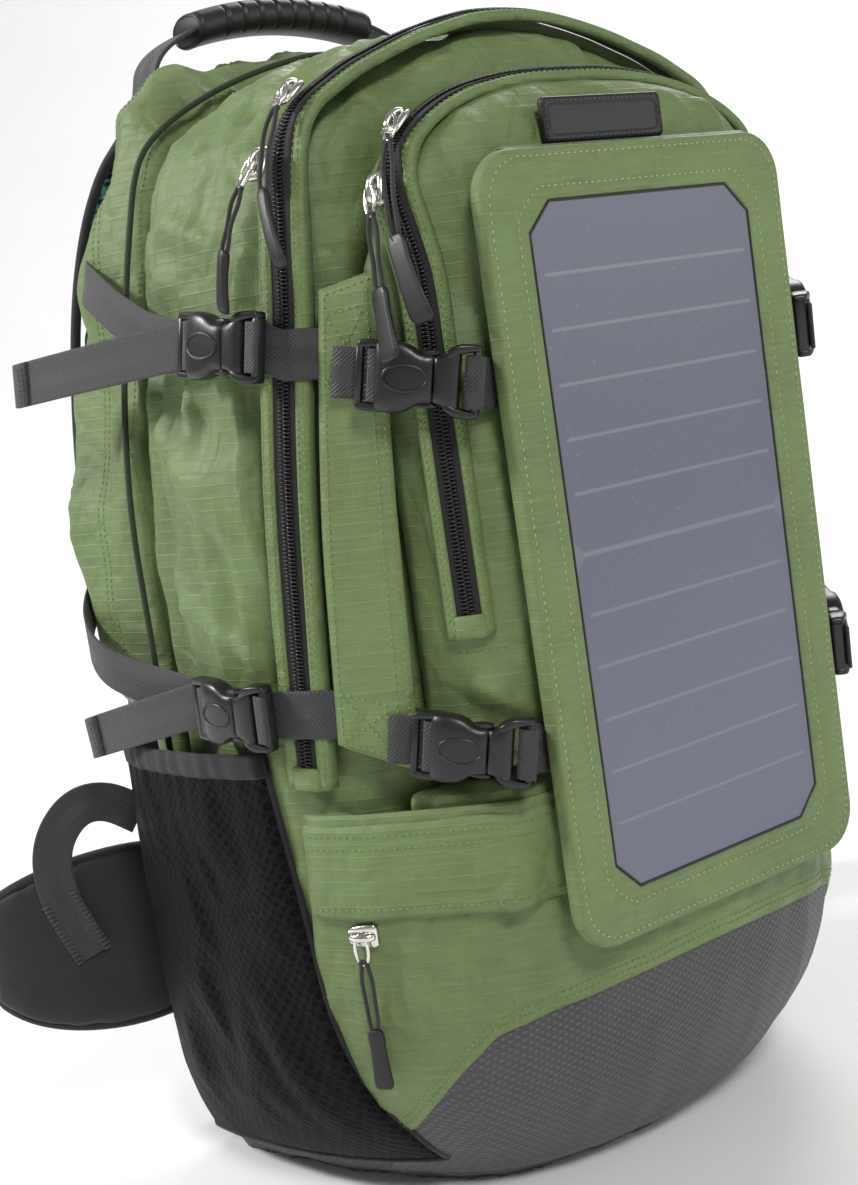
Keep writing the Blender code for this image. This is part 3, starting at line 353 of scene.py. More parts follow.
def ripstop(name, colour):
    look = Look(name, 0.52, sheen=0.06, specular=0.5)
    slub = look.cloud(1.0, 2.0, (70, 620, 1))
    broad = look.cloud(14.0, 3.0)
    threads = look.math("MULTIPLY", look.wave(look.x, 0.0011), look.wave(look.y, 0.0011))
    lines_x = look.between(look.math("PINGPONG", look.x, 0.0026), 0.0, 0.00042, 1, 0)
    lines_y = look.between(look.math("PINGPONG", look.y, 0.0026), 0.0, 0.00046, 1, 0)
    grid = look.math("MAXIMUM", look.math("MULTIPLY", lines_x, 0.45), lines_y)
    dark = look.blend(look.between(broad, 0.3, 0.7), shade(colour, 0.86), shade(colour, 1.1))
    streaked = look.blend(look.between(slub, 0.42, 0.68, 0, 0.3), dark, shade(colour, 1.3))
    look.colour(look.blend(look.math("MULTIPLY", grid, 0.34), streaked, shade(colour, 1.55)))
    look.rough(look.between(slub, 0.3, 0.7, 0.6, 0.46))
    crease = look.math("ABSOLUTE", look.math("SUBTRACT", look.cloud(34.0, 2.0, None, 0.4), 0.5))
    crumple = look.math("ABSOLUTE", look.math("SUBTRACT", look.cloud(80.0, 2.0, (1, 0.6, 1), 0.5), 0.5))
    soft = look.math("MULTIPLY_ADD", look.between(crease, 0.0, 0.09), 1.0, look.math(
        "MULTIPLY", look.between(crumple, 0.0, 0.12), 0.45))
    fine = look.math("MULTIPLY_ADD", threads, 0.1, look.math("MULTIPLY_ADD", slub, 0.16, look.math(
        "MULTIPLY", grid, 0.26)))
    look.relief(look.math("MULTIPLY_ADD", soft, 1.0, fine), 0.55, 1.0)
    return look.material


def ballistic(name, colour):
    look = Look(name, 0.62, sheen=0.12, specular=0.4)
    weave = look.math("MULTIPLY", look.wave(look.x, 0.0046), look.wave(look.y, 0.0034))
    knots = look.between(weave, 0.1, 0.9)
    broad = look.cloud(22.0, 4.0)
    base = look.blend(broad, shade(colour, 0.75), shade(colour, 1.2))
    look.colour(look.blend(look.math("MULTIPLY", knots, 0.7), base, shade(colour, 2.2)))
    look.relief(look.math("MULTIPLY_ADD", weave, 0.5, look.cloud(900.0, 2.0)), 0.42, 0.9)
    return look.material


def webbing(name, colour):
    look = Look(name, 0.6, sheen=0.18, specular=0.4)
    fold = look.math("PINGPONG", look.y, 0.0062)
    ribs = look.math("SINE", look.math("MULTIPLY", look.math("ADD", look.x, fold), 2 * math.pi / 0.0017))
    grain = look.cloud(500.0, 2.0)
    base = look.blend(grain, shade(colour, 0.8), shade(colour, 1.25))
    look.colour(look.blend(look.between(ribs, 0.0, 1.0, 0, 0.55), base, shade(colour, 1.6)))
    look.relief(look.math("MULTIPLY_ADD", ribs, 0.5, grain), 0.22, 0.9)
    return look.material


def open_mesh(name, thread, hole, pitch):
    look = Look(name, 0.6, specular=0.12)
    cells = look.cells(pitch, 0.16)
    strand = look.between(cells, 0.3, 0.4)
    # Painted glints: patches of thread lightened up to 2.6 times, standing in for highlights.
    painted_glint = look.cloud(260.0, 3.0)
    base = look.blend(look.between(painted_glint, 0.5, 0.75), thread, shade(thread, 2.6))
    look.colour(look.blend(strand, hole, base))
    look.relief(strand, 0.9, 1.0)
    return look.material


def nylon(name, colour, pitch=0.0012, rough=0.68):
    look = Look(name, rough, sheen=0.15, specular=0.35)
    weave = look.math("MULTIPLY", look.wave(look.x, pitch), look.wave(look.y, pitch))
    broad = look.cloud(18.0, 4.0)
    base = look.blend(broad, shade(colour, 0.78), shade(colour, 1.25))
    look.colour(look.blend(look.between(weave, 0, 1, 0, 0.4), base, shade(colour, 1.7)))
    look.relief(look.math("MULTIPLY_ADD", weave, 0.4, look.cloud(300.0, 3.0)), 0.25, 0.8)
    return look.material


def moulded(name, colour, rough, grain=0.05, space="Object", specular=0.5):
    look = Look(name, rough, specular=specular, space=space)
    broad = look.cloud(60.0, 3.0)
    fine = look.cloud(1600.0, 2.0)
    look.colour(look.blend(broad, shade(colour, 0.85), shade(colour, 1.2)))
    look.rough(look.between(fine, 0.3, 0.7, rough - 0.05, rough + 0.09))
    look.relief(fine, grain, 0.6)
    return look.material


def thread(name, colour):
    look = Look(name, 0.55, sheen=0.2, space="Object")
    twist = look.cloud(700.0, 2.0)
    look.colour(look.blend(twist, shade(colour, 0.7), shade(colour, 1.25)))
    return look.material


def nickel(name):
    look = Look(name, 0.2, metallic=1.0, space="Object")
    fine = look.cloud(240.0, 4.0)
    look.colour(look.blend(fine, tone(205, 203, 196), tone(236, 234, 228)))
    look.rough(look.between(fine, 0.3, 0.7, 0.16, 0.3))
    return look.material


STRIP_LINES = [28.2, 49.6, 71.0, 92.4, 113.8]


def laminate(name):
    """Coated solar cells: strips split by fine pale lines, with a soft sheen."""
    look = Look(name, 0.42, specular=0.45, coat=0.35, space="Object")
    look.set("Coat Roughness", 0.3)
    height = look.math("SUBTRACT", look.z, PANEL_CENTRE_Z * MM)
    from_middle = look.math("ABSOLUTE", height)
    lines = look.between(from_middle, 0.0006, 0.0014, 0.6, 0)
    for mark in STRIP_LINES:
        distance = look.math("ABSOLUTE", look.math("SUBTRACT", from_middle, (138 - mark) * MM))
        lines = look.math("MAXIMUM", lines, look.between(distance, 0.0003, 0.0011, 0.62, 0))
    across = look.math("ABSOLUTE", look.x)
    inside = look.between(across, 0.0565, 0.0575, 1, 0)
    lines = look.math("MULTIPLY", lines, inside)
    notch = look.math("ADD", from_middle, look.math("SUBTRACT", 0.062, across))
    corner = look.between(notch, 0.0062, 0.0075, 0.35, 0)
    broad = look.cloud(7.0, 2.0)
    # Painted shading: the cells are drawn darker towards the top of the panel.
    tilt = look.between(height, -0.14, 0.14, 0.0, 1.0)
    cell = look.blend(look.math("MULTIPLY_ADD", broad, 0.3, look.math("MULTIPLY", tilt, 0.7)),
                      tone(98, 100, 117), tone(78, 80, 96))
    speck = look.between(look.cloud(420.0, 2.0), 0.68, 0.74, 0, 0.35)
    cell = look.blend(speck, cell, tone(128, 130, 142))
    marked = look.blend(look.math("MAXIMUM", lines, corner), cell, tone(120, 124, 126))
    look.colour(marked)
    look.relief(look.cells(0.0011, 0.3), 0.03, 0.5)
    return look.material


GREEN_TONE = tone(98, 117, 70)
GREEN = ripstop("green_ripstop_nylon", GREEN_TONE)
# A darker copy of the green cloth for the panel's backing and hinge strip: painted shade of the gap behind and under
# the panel.
GREEN_SHADOW = ripstop("green_ripstop_shadow", shade(GREEN_TONE, 0.62))
# Very dark green for a tube laid in the groove between the main and rear compartments: painted shade of that groove.
GROOVE_SHADE_GREEN = nylon("painted_groove_shade", shade(GREEN_TONE, 0.16))
GREY = ballistic("grey_ballistic_nylon", tone(64, 64, 66))
BLACK_WEB = webbing("black_webbing", tone(46, 46, 48))
BLACK_MESH = open_mesh("black_open_mesh", tone(12, 12, 13), tone(0, 0, 0), 0.0040)
TEAL_MESH = open_mesh("teal_air_mesh", tone(58, 100, 93), tone(14, 34, 32), 0.0038)
PADDING = nylon("black_padded_nylon", tone(36, 36, 40))
BINDING = nylon("black_binding_tape", tone(22, 22, 24), 0.0009)
TAPE = nylon("black_zip_tape", tone(34, 34, 35), 0.001, 0.75)
ACETAL = moulded("black_acetal", tone(24, 24, 26), 0.34, 0.008)
RUBBER = moulded("black_rubber", tone(20, 20, 22), 0.46, 0.03)
CORD = nylon("black_pull_cord", tone(40, 40, 40), 0.0011, 0.7)
COIL = moulded("black_zip_coil", tone(28, 28, 29), 0.3, 0.02)
NICKEL = nickel("nickel_plate")
CELLS = laminate("solar_laminate_cells")
GREEN_THREAD = thread("green_thread", tone(110, 140, 62))
PALE_THREAD = thread("pale_thread", tone(176, 186, 134))
BLACK_THREAD = thread("black_thread", tone(64, 64, 66))


# ---------------------------------------------------------------- mesh tools

def linked(name, data):
    """A new object in the scene."""
    obj = bpy.data.objects.new(name, data)
    bpy.context.scene.collection.objects.link(obj)
    return obj


def raw_mesh(name, verts, faces):
    """A mesh from points in mm, with its faces turned outward."""
    mesh = bpy.data.meshes.new(name)
    mesh.from_pydata([tuple(c * MM for c in v) for v in verts], [], faces)
    work = bmesh.new()
    work.from_mesh(mesh)
    bmesh.ops.recalc_face_normals(work, faces=work.faces)
    work.to_mesh(mesh)
    work.free()
    return mesh


def fetch(items, key, width=3, kind=float):
    """One property of every vertex, edge, face or corner, in rows of the given width."""
    made = np.empty(len(items) * width, kind)
    items.foreach_get(key, made)
    return made.reshape(-1, width) if width > 1 else made


def numbers(rows):
    return np.array([tuple(r) for r in rows], float)


def piece(name, verts, faces, look, body, uv=None, replaces=(), slot=None):
    """One mesh from points in mm. uv holds (u, v) in mm for each point; without it the weave is boxed on."""
    return dress(linked(name, raw_mesh(name, verts, faces)), look, body, uv, replaces, slot)


def dress(obj, look, body, uv=None, replaces=(), slot=None):
    """Gives a mesh its material, weave, body and the CAD nodes it stands for; slot is not used."""
    mesh = obj.data
    mesh.materials.clear()
    mesh.materials.append(look)
    mesh.polygons.foreach_set("use_smooth", [True] * len(mesh.polygons))
    layer = mesh.uv_layers[0] if mesh.uv_layers else mesh.uv_layers.new(name="weave")
    corners = fetch(mesh.loops, "vertex_index", 1, np.int32)
    flat = box_weave(mesh, corners) if uv is None else np.array(uv, float)[corners] * MM
    layer.data.foreach_set("uv", flat.astype(np.float32).ravel())
    if body:
        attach(obj, body)
    if replaces:
        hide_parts(*replaces)
    return obj


def box_weave(mesh, corners):
    """The weave laid on from the front, the side or above, whichever each face looks towards."""
    normals = np.abs(fetch(mesh.polygons, "normal")) * (1.0, 1.0, 0.8)
    axis = np.repeat(normals.argmax(axis=1), fetch(mesh.polygons, "loop_total", 1, np.int32))
    here = fetch(mesh.vertices, "co")[corners]
    u = np.where(axis == 0, here[:, 1], here[:, 0])
    v = np.where(axis == 2, here[:, 1], here[:, 2])
    return np.stack([u, v], axis=1)


def sweep(rings, closed=False):
    """Faces that join equal rings into a tube, with its ends capped unless it closes on itself."""
    count = len(rings[0])
    verts = [p for ring in rings for p in ring]
    faces = []
    last = len(rings) if closed else len(rings) - 1
    for k in range(last):
        n = (k + 1) % len(rings)
        for i in range(count):
            j = (i + 1) % count
            faces.append((k * count + i, k * count + j, n * count + j, n * count + i))
    if not closed:
        faces.append(tuple(range(count)))
        faces.append(tuple((len(rings) - 1) * count + i for i in range(count)))
    return verts, faces


def merge(parts):
    verts = []
    faces = []
    for more, shape in parts:
        base = len(verts)
        verts += more
        faces += [tuple(i + base for i in f) for f in shape]
    return verts, faces


def round_corners(rows, times=2):
    """Cuts each corner of a line of equal-length number rows, keeping its ends."""
    rows = np.array(rows, float)
    for _ in range(times):
        a, b = rows[:-1], rows[1:]
        mixed = np.empty((2 * len(a), rows.shape[1]))
        mixed[0::2] = 0.75 * a + 0.25 * b
        mixed[1::2] = 0.25 * a + 0.75 * b
        rows = np.vstack([rows[:1], mixed[1:-1], rows[-1:]])
    return rows


def respace(rows, step):
    """The line with points about step apart, measured on its first three columns."""
    rows = np.array(rows, float)
    gaps = np.linalg.norm(np.diff(rows[:, :3], axis=0), axis=1)
    run = np.concatenate([[0], np.cumsum(gaps)])
    count = max(2, int(round(run[-1] / step)) + 1)
    marks = np.linspace(0, run[-1], count)
    return np.stack([np.interp(marks, run, rows[:, c]) for c in range(rows.shape[1])], axis=1)


def unit(vectors):
    return vectors / np.maximum(np.linalg.norm(vectors, axis=-1, keepdims=True), 1e-12)


def tangents(points, closed=False):
    if closed:
        return unit(np.roll(points, -1, axis=0) - np.roll(points, 1, axis=0))
    made = np.empty_like(points)
    made[1:-1] = points[2:] - points[:-2]
    made[0] = points[1] - points[0]
    made[-1] = points[-1] - points[-2]
    return unit(made)


def strap_shape(path, across, width, thick, times=2):
    """(verts, faces, uv) of webbing with rounded edges along a path, across the given directions."""
    if not isinstance(across, list):
        across = [across] * len(path)
    rows = round_corners(np.hstack([numbers(path), numbers(across)]), times)
    points, sides = rows[:, :3], unit(rows[:, 3:])
    along = tangents(points)
    normals = unit(np.cross(along, sides))
    run = np.concatenate([[0], np.cumsum(np.linalg.norm(np.diff(points, axis=0), axis=1))])
    half, deep = width / 2, thick / 2
    section = [(-half, -0.3 * deep), (-half + 0.25, -deep), (-half + 1.2, -deep), (0, -deep), (half - 1.2, -deep),
               (half - 0.25, -deep), (half, -0.3 * deep), (half, 0.3 * deep), (half - 0.25, deep),
               (half - 1.2, deep), (0, deep), (-half + 1.2, deep), (-half + 0.25, deep), (-half, 0.3 * deep)]
    rings = []
    uv = []
    for p, s, n, d in zip(points, sides, normals, run):
        rings.append([tuple(p + s * a + n * b) for a, b in section])
        uv += [(d, a + half) for a, b in section]
    verts, faces = sweep(rings)
    return verts, faces, uv


def strap(name, path, across, width, thick, look, body, replaces=(), slot=None, times=2):
    verts, faces, uv = strap_shape(path, across, width, thick, times)
    return piece(name, verts, faces, look, body, uv, replaces, slot)


def tube_shape(path, radius, sides=8, closed=False, flat=1.0, up=(0.1, 0.3, 0.95)):
    points = numbers(path)
    along = tangents(points, closed)
    side = unit(np.cross(along, np.array(up, float)))
    over = np.cross(side, along)
    rings = []
    radii = radius if hasattr(radius, "__len__") else [radius] * len(points)
    for p, s, o, r in zip(points, side, over, radii):
        rings.append([tuple(p + s * (r * math.cos(a)) + o * (r * flat * math.sin(a)))
                      for a in (2 * math.pi * k / sides for k in range(sides))])
    return sweep(rings, closed)


def rounded(half_a, half_b, power=0.45, count=16):
    """Points of a box section with well rounded corners."""
    made = []
    for k in range(count):
        angle = 2 * math.pi * (k + 0.5) / count
        c, s = math.cos(angle), math.sin(angle)
        made.append((half_a * math.copysign(abs(c) ** power, c), half_b * math.copysign(abs(s) ** power, s)))
    return made


def arrays(mesh):
    """Points in mm and edges of a mesh."""
    return fetch(mesh.vertices, "co") / MM, fetch(mesh.edges, "vertices", 2, np.int32)


def normals_of(mesh):
    return fetch(mesh.vertices, "normal")


def put_back(mesh, co):
    mesh.vertices.foreach_set("co", (co * MM).astype(np.float32).ravel())
    mesh.update()


def relax(co, edges, times, factor=0.5):
    count = np.bincount(edges.ravel(), minlength=len(co))[:, None]
    for _ in range(times):
        total = np.zeros_like(co)
        for axis in range(3):
            total[:, axis] = np.bincount(edges[:, 0], co[edges[:, 1], axis], len(co))
            total[:, axis] += np.bincount(edges[:, 1], co[edges[:, 0], axis], len(co))
        co = co + factor * (total / np.maximum(count, 1) - co)
    return co


def line_gap(points, line):
    """Distance from each point to a line of points."""
    best = np.full(len(points), 1e9)
    for a, b in zip(line[:-1], line[1:]):
        d = b - a
        t = np.clip(((points - a) @ d) / max(1e-9, d @ d), 0, 1)
        best = np.minimum(best, np.linalg.norm(points - (a + t[:, None] * d), axis=1))
    return best


def baked(obj):
    """The object's mesh with its modifiers applied."""
    graph = bpy.context.evaluated_depsgraph_get()
    mesh = bpy.data.meshes.new_from_object(obj.evaluated_get(graph))
    old = obj.data
    obj.modifiers.clear()
    obj.data = mesh
    bpy.data.meshes.remove(old)
    return mesh


def tree_of(*objects):
    verts = []
    faces = []
    for obj in objects:
        base = len(verts)
        verts += [tuple(c / MM for c in v.co) for v in obj.data.vertices]
        faces += [tuple(i + base for i in p.vertices) for p in obj.data.polygons]
    return BVHTree.FromPolygons(verts, faces)


def rumple(co, size, seed, octaves=3):
    """Smooth noise of about -1 to 1 for each point; size is the wavelength in mm, one number or three."""
    scale = 1 / np.array(size, float)
    made = np.empty(len(co))
    for i, p in enumerate(co * scale + seed):
        made[i] = noise.fractal(Vector(p), 1.0, 2.1, octaves)
    return made


# ---------------------------------------------------------------- soft bodies

def start_soft(name, source, voxel, inset, smooth=2):
    """A copy of a closed mesh made of even cells, slightly smaller, ready for air pressure."""
    obj = linked(name, source.copy())
    cells = obj.modifiers.new("cells", "REMESH")
    cells.mode = "VOXEL"
    cells.voxel_size = voxel * MM
    mesh = baked(obj)
    co, edges = arrays(mesh)
    co = relax(co, edges, smooth)
    put_back(mesh, co)
    co = co - normals_of(mesh) * inset
    put_back(mesh, co)
    return obj


def fill_with_air(entries, frames=20):
    """Runs the cloth pressure on all the shells at once and keeps the result within each one's cap."""
    starts = {}
    for obj, pressure, cap in entries:
        starts[obj.name] = arrays(obj.data)[0]
        cloth = obj.modifiers.new("air", "CLOTH")
        cloth.settings.quality = 4
        cloth.settings.mass = 0.3
        cloth.settings.tension_stiffness = 15
        cloth.settings.compression_stiffness = 15
        cloth.settings.shear_stiffness = 5
        cloth.settings.bending_stiffness = 1.5
        cloth.settings.use_pressure = True
        cloth.settings.uniform_pressure_force = pressure
        cloth.settings.effector_weights.gravity = 0
        cloth.point_cache.frame_start = 1
        cloth.point_cache.frame_end = frames
    for number in range(1, frames + 1):
        bpy.context.scene.frame_set(number)
    for obj, pressure, cap in entries:
        mesh = baked(obj)
        moved = arrays(mesh)[0]
        start = starts[obj.name]
        step = moved - start
        size = np.linalg.norm(step, axis=1, keepdims=True)
        step = step * np.minimum(1, cap / np.maximum(size, 1e-9))
        put_back(mesh, start + step)
    bpy.context.scene.frame_set(1)


def hold_in(obj, tree, free, presses=(), floor=False):
    """Keeps a shell near its solid: up to free mm proud, less where something presses on it."""
    mesh = obj.data
    co, edges = arrays(mesh)
    allowed = np.full(len(co), float(free))
    for line, radius, limit in presses:
        gap = line_gap(co, numbers(line))
        t = np.clip((gap - radius) / 12, 0, 1)
        allowed = np.minimum(allowed, limit + (free - limit) * t * t * (3 - 2 * t))
    for i, p in enumerate(co):
        spot, normal, _, dist = tree.find_nearest(Vector(p))
        proud = dist if (Vector(p) - spot).dot(normal) > 0 else -dist
        room = allowed[i]
        if room > 0.05 and proud > 0:
            wanted = room * math.tanh(proud / room)
        else:
            wanted = min(proud, room)
        co[i] = co[i] - np.array(normal) * (proud - wanted)
    co = relax(co, edges, 2, 0.4)
    if floor:
        co[:, 2] = np.maximum(co[:, 2], 0.2)
    put_back(mesh, co)


def subdivide(obj):
    more = obj.modifiers.new("finer", "SUBSURF")
    more.levels = 1
    more.render_levels = 1
    baked(obj)


def pinch(co, normals, lines, depth, width, pucker=0.0, seed=0.0):
    """Draws the cloth in along sewn lines, with small puckers beside them."""
    for line in lines:
        gap = line_gap(co, numbers(line))
        near = gap < width * 3
        pull = np.exp(-(gap[near] / width) ** 2)
        shift = -depth * pull
        if pucker:
            ripple = rumple(co[near], (9, 9, 7), seed, 2)
            shift = shift + pucker * ripple * np.exp(-((gap[near] - width) / (width * 1.2)) ** 2)
        co[near] += normals[near] * shift[:, None]
    return co


def fold(co, normals, line, height, width):
    """Raises (or with a negative height, creases) the cloth along a line, fading at its ends."""
    line = numbers(line)
    best = np.full(len(co), 1e9)
    share = np.zeros(len(co))
    run = 0.0
    total = np.linalg.norm(np.diff(line, axis=0), axis=1).sum()
    for a, b in zip(line[:-1], line[1:]):
        d = b - a
        length = np.linalg.norm(d)
        t = np.clip(((co - a) @ d) / max(1e-9, d @ d), 0, 1)
        gap = np.linalg.norm(co - (a + t[:, None] * d), axis=1)
        closer = gap < best
        best[closer] = gap[closer]
        share[closer] = (run + t[closer] * length) / total
        run += length
    fade = np.sin(np.pi * np.clip(share, 0, 1)) ** 0.6
    return co + normals * (height * fade * np.exp(-(best / width) ** 2))[:, None]


def side_line(side, marks, off=0.0):
    return [on_side(side, y, z, off) for y, z in marks]


def stitches(name, runs, look, body, pitch=3.0, length=2.3, radius=0.44, lift=0.1):
    """Rows of short raised stitches. runs holds (points, normals) pairs already on the cloth."""
    parts = []
    for points, normals in runs:
        rows = respace(np.hstack([points, normals]), pitch / 4)
        count = int(len(rows) / 4)
        for k in range(count):
            p = rows[min(4 * k + 1, len(rows) - 2)]
            q = rows[min(4 * k + 2, len(rows) - 1)]
            along = unit(q[:3] - p[:3])
            n = unit(p[3:])
            side = np.cross(along, n)
            c = p[:3] + n * lift
            half = along * (length / 2)
            ring = [c + side * radius, c + n * radius, c - side * radius, c - n * radius * 0.4]
            verts = [tuple(c - half)] + [tuple(r) for r in ring] + [tuple(c + half)]
            faces = [(0, 1, 2), (0, 2, 3), (0, 3, 4), (0, 4, 1), (5, 2, 1), (5, 3, 2), (5, 4, 3), (5, 1, 4)]
            parts.append((verts, faces))
    return piece(name, *merge(parts), look, body)


def snap(tree, points, normals, reach=14, lift=0.0):
    """Drops points onto the cloth along their normals, giving the places and the cloth's own normals."""
    spots = []
    ways = []
    for p, n in zip(points, normals):
        n = Vector(n).normalized()
        hit, way, _, dist = tree.ray_cast(Vector(p) + n * reach, -n, reach * 2.5)
        if hit is None:
            hit, way, _, dist = tree.find_nearest(Vector(p))
        if way.dot(n) < 0:
            way = -way
        spots.append(tuple(hit + way * lift))
        ways.append(tuple((way * 0.6 + n * 0.4).normalized()))
    return np.array(spots), np.array(ways)


def arch_half(arch, y_of, levels, rise_of):
    """Right-hand points up the side and over the arch to the middle."""
    made = []
    for z in levels:
        y = y_of(z)
        x = min(side_point(y, min(z, 500)), lerp_table(arch, z))
        made.append((x, y, z + rise_of(y, z)))
    return made


def both_halves(line, skip=0):
    """A right-hand line after its mirror image; skip leaves out that many of the mirrored points."""
    return [(-x, *rest) for x, *rest in reversed(line[skip:])] + line


def hoop(y, arch, low, rise_of, inset=0.0):
    top = arch[-1][0]
    levels = [low + (arch[0][0] - low) * k / 10 for k in range(10)]
    levels += [arch[0][0] + (top - arch[0][0]) * math.sin(math.pi / 2 * k / 10) for k in range(11)]
    half = [(x - inset, yy, z) for x, yy, z in arch_half(arch, lambda z: y, levels, rise_of)]
    return half + [(-x, yy, z) for x, yy, z in reversed(half)]


def no_rise(*_):
    return 0.0


def main_rise(y, z):
    return main_z(y, z) - z


def rear_rise(y, z):
    return -9 * clamp((72 - y) / 34, 0, 1) ** 1.5 * clamp((z - 420) / 100, 0, 1)


def press_lines():
    made = []
    for side, _ in SIDES:
        made.append((side_line(side, [(92, 429), (76, 422), (58, 413), (40, 404), (22, 397), (6, 391), (-30, 385),
                                      (-86, 376)]), 10, 0.1))
        made.append((side_line(side, [(92, 276), (84, 262), (70, 249), (46, 241), (26, 238), (-10, 236), (-72, 229)]),
                     10, 0.1))
        for z in (232, 268, 304, 340, 376, 392):
            made.append((side_line(side, [(wing_left_y(z), z), (wing_right_y(z), z)]), 20, 0.3))
        for z in (40, 75, 110, 145, 180, 205):
            made.append((side_line(side, [(-44, z), (-20, z), (10, z), (40, z), (76, z)]), 18, 0.3))
        for z in (359, 214):
            made.append(([(side * 104, -116, z + 3), (side * 88, -138, z - 4)], 15, -0.4))
    for z in (352, 207):
        made.append(([(-90, -140, z), (90, -140, z)], 11, -0.3))
    made.append(([(-38, -140, 450), (30, -140, 450)], 10, 0.0))
    return made


def flat_faces(co, normals, planes):
    """True where a shell lies against its neighbour on one of these depths."""
    made = np.zeros(len(co), bool)
    for y in planes:
        made |= (np.abs(co[:, 1] - y) < 5) & (np.abs(normals[:, 1]) > 0.85)
    return made


PRESSES = press_lines()
MAIN_ZIP_LINE = hoop(-83, MAIN_ARCH, 200, main_rise)
FRONT_ZIP_LINE = hoop(-122, FRONT_ARCH, 256, no_rise)
MAIN_ZIP_SIDE = [side_line(side, [(main_zip_y(z), z) for z in (200, 250, 300, 350, 400)]) for side, _ in SIDES]
FRONT_ZIP_SIDE = [side_line(side, [(front_zip_y(z), z) for z in (256, 300, 350, 400)]) for side, _ in SIDES]
ZIP_PRESSES = [(line, 10, 0.0) for line in [MAIN_ZIP_LINE, FRONT_ZIP_LINE] + MAIN_ZIP_SIDE + FRONT_ZIP_SIDE]
FLAP_LINE = [(x, y, 166) for x, y in both_halves(plan(166)[:9])]

HIP_ROWS = []
for number, (hx, hy, hh) in enumerate(HIP_PATH):
    before = HIP_PATH[max(0, number - 1)]
    after = HIP_PATH[min(len(HIP_PATH) - 1, number + 1)]
    lean = Vector((after[0] - before[0], after[1] - before[1], 0)).normalized()
    HIP_ROWS.append((hx, hy, HIP_Z + 0.06 * (hx - 96), hh, lean.y, -lean.x))


def hip_shape(side):
    """Closed padded fin of the hip belt."""
    rows = respace(round_corners(HIP_ROWS, 2), 5)
    rings = []
    for x, y, z, tall, nx, ny in rows:
        n = Vector((side * nx, ny, 0)).normalized()
        c = Vector((side * x, y, z))
        rings.append([tuple(c + Vector((0, 0, b)) + n * a) for a, b in rounded(6.0, tall + 1.0, 0.35, 28)])
    return sweep(rings)


def soft_bodies():
    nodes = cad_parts
    plans = [(node + end, nodes[node].data, *rest) for node, end, *rest in (
        ("main_compartment", "_shell", 6, 2.6, 2.5, 6), ("rear_compartment", "_shell", 6, 2.6, 2.5, 6),
        ("front_pocket", "_shell", 5, 2.2, 2.5, 5), ("lower_pocket", "_shell", 5, 2.2, 2.5, 5),
        ("base_boot", "_shell", 5, 1.2, 1.5, 2.4), ("back_pad", "_cushion", 5, 2.4, 4, 6))]
    for side, tag in SIDES:
        plans.append(("shoulder_cushion_" + tag, nodes["shoulder_pad_" + tag].data, 4, 1.8, 4, 4.5))
        plans.append(("hip_fin_cushion_" + tag, raw_mesh("hip_fin_" + tag, *hip_shape(side)), 4, 1.2, 4, 3.6))
    made = {}
    trees = {}
    entries = []
    for name, source, voxel, inset, pressure, cap in plans:
        made[name] = start_soft(name, source, voxel, inset)
        trees[name] = BVHTree.FromPolygons([tuple(v.co / MM) for v in source.vertices],
                                           [tuple(p.vertices) for p in source.polygons])
        entries.append((made[name], pressure, cap))
    fill_with_air(entries)
    return made, trees


def finish_shell(obj, tree, free, presses, planes=(), seams=(), folds=(), rough_size=(60, 60, 90), amount=1.0,
                 seed=0.0, floor=False, crisp=0.5):
    hold_in(obj, tree, free, presses, floor)
    subdivide(obj)
    mesh = obj.data
    co, edges = arrays(mesh)
    normals = normals_of(mesh)
    calm = np.ones(len(co))
    for line, radius, _ in presses:
        gap = line_gap(co, numbers(line))
        calm = np.minimum(calm, np.clip((gap - radius * 0.6) / 16, 0.12, 1))
    against = flat_faces(co, normals, planes)
    calm[against] = 0.0
    broad = rumple(co, rough_size, seed, 2)
    fine = rumple(co, (30, 30, 64), seed + 5.3, 1)
    ridge = (0.32 - np.abs(fine)) * 2.0
    slack = rumple(co, (15, 15, 9), seed + 9.1, 2)
    tall = rumple(co, (21, 21, 130), seed + 12.7, 1)
    tucks = (0.26 - np.abs(tall)) * 1.7
    swell = 1.9 * broad + 1.8 * crisp * ridge + 0.4 * slack + crisp * 5.6 * tucks
    co = co + normals * (calm * amount * swell)[:, None]
    for lines, depth, width, pucker in seams:
        co = pinch(co, normals, lines, depth, width, pucker, seed)
    for line, height, width in folds:
        co = fold(co, normals, line, height * 2.3, width * 0.9)
    if against.any():
        co[against] -= normals[against] * 0.4
    co = relax(co, edges, 1, 0.3)
    if floor:
        low = co[:, 2] < 1.6
        co[:, 2] = np.maximum(co[:, 2], 0.1)
        co[low, 2] = 0.1
    put_back(mesh, co)


SHELLS, TREES = soft_bodies()


def soft_step(values):
    t = np.clip(values, 0, 1)
    return t * t * (3 - 2 * t)


def swell_rear(obj):
    """Fills the rear compartment's back corners out beside the back pad."""
    mesh = obj.data
    co, _ = arrays(mesh)
    wide = np.abs(co[:, 0])
    pad = np.interp(co[:, 2], (220, 330, 410, 450, 478), (118, 116, 108, 98, 84))
    push = soft_step((co[:, 1] - 48) / 34) * soft_step((co[:, 2] - 205) / 40) * soft_step((462 - co[:, 2]) / 50)
    push = push * soft_step((wide - pad + 3) / 10)
    co[:, 0] += np.sign(co[:, 0]) * 14 * push
    co[:, 1] += 12 * push
    corner = soft_step((wide - 45) / 35) * soft_step((co[:, 2] - 400) / 45) * soft_step((co[:, 1] - 34) / 30)
    co[:, 0] += np.sign(co[:, 0]) * 4 * corner
    co[:, 2] += 9 * corner
    put_back(mesh, co)


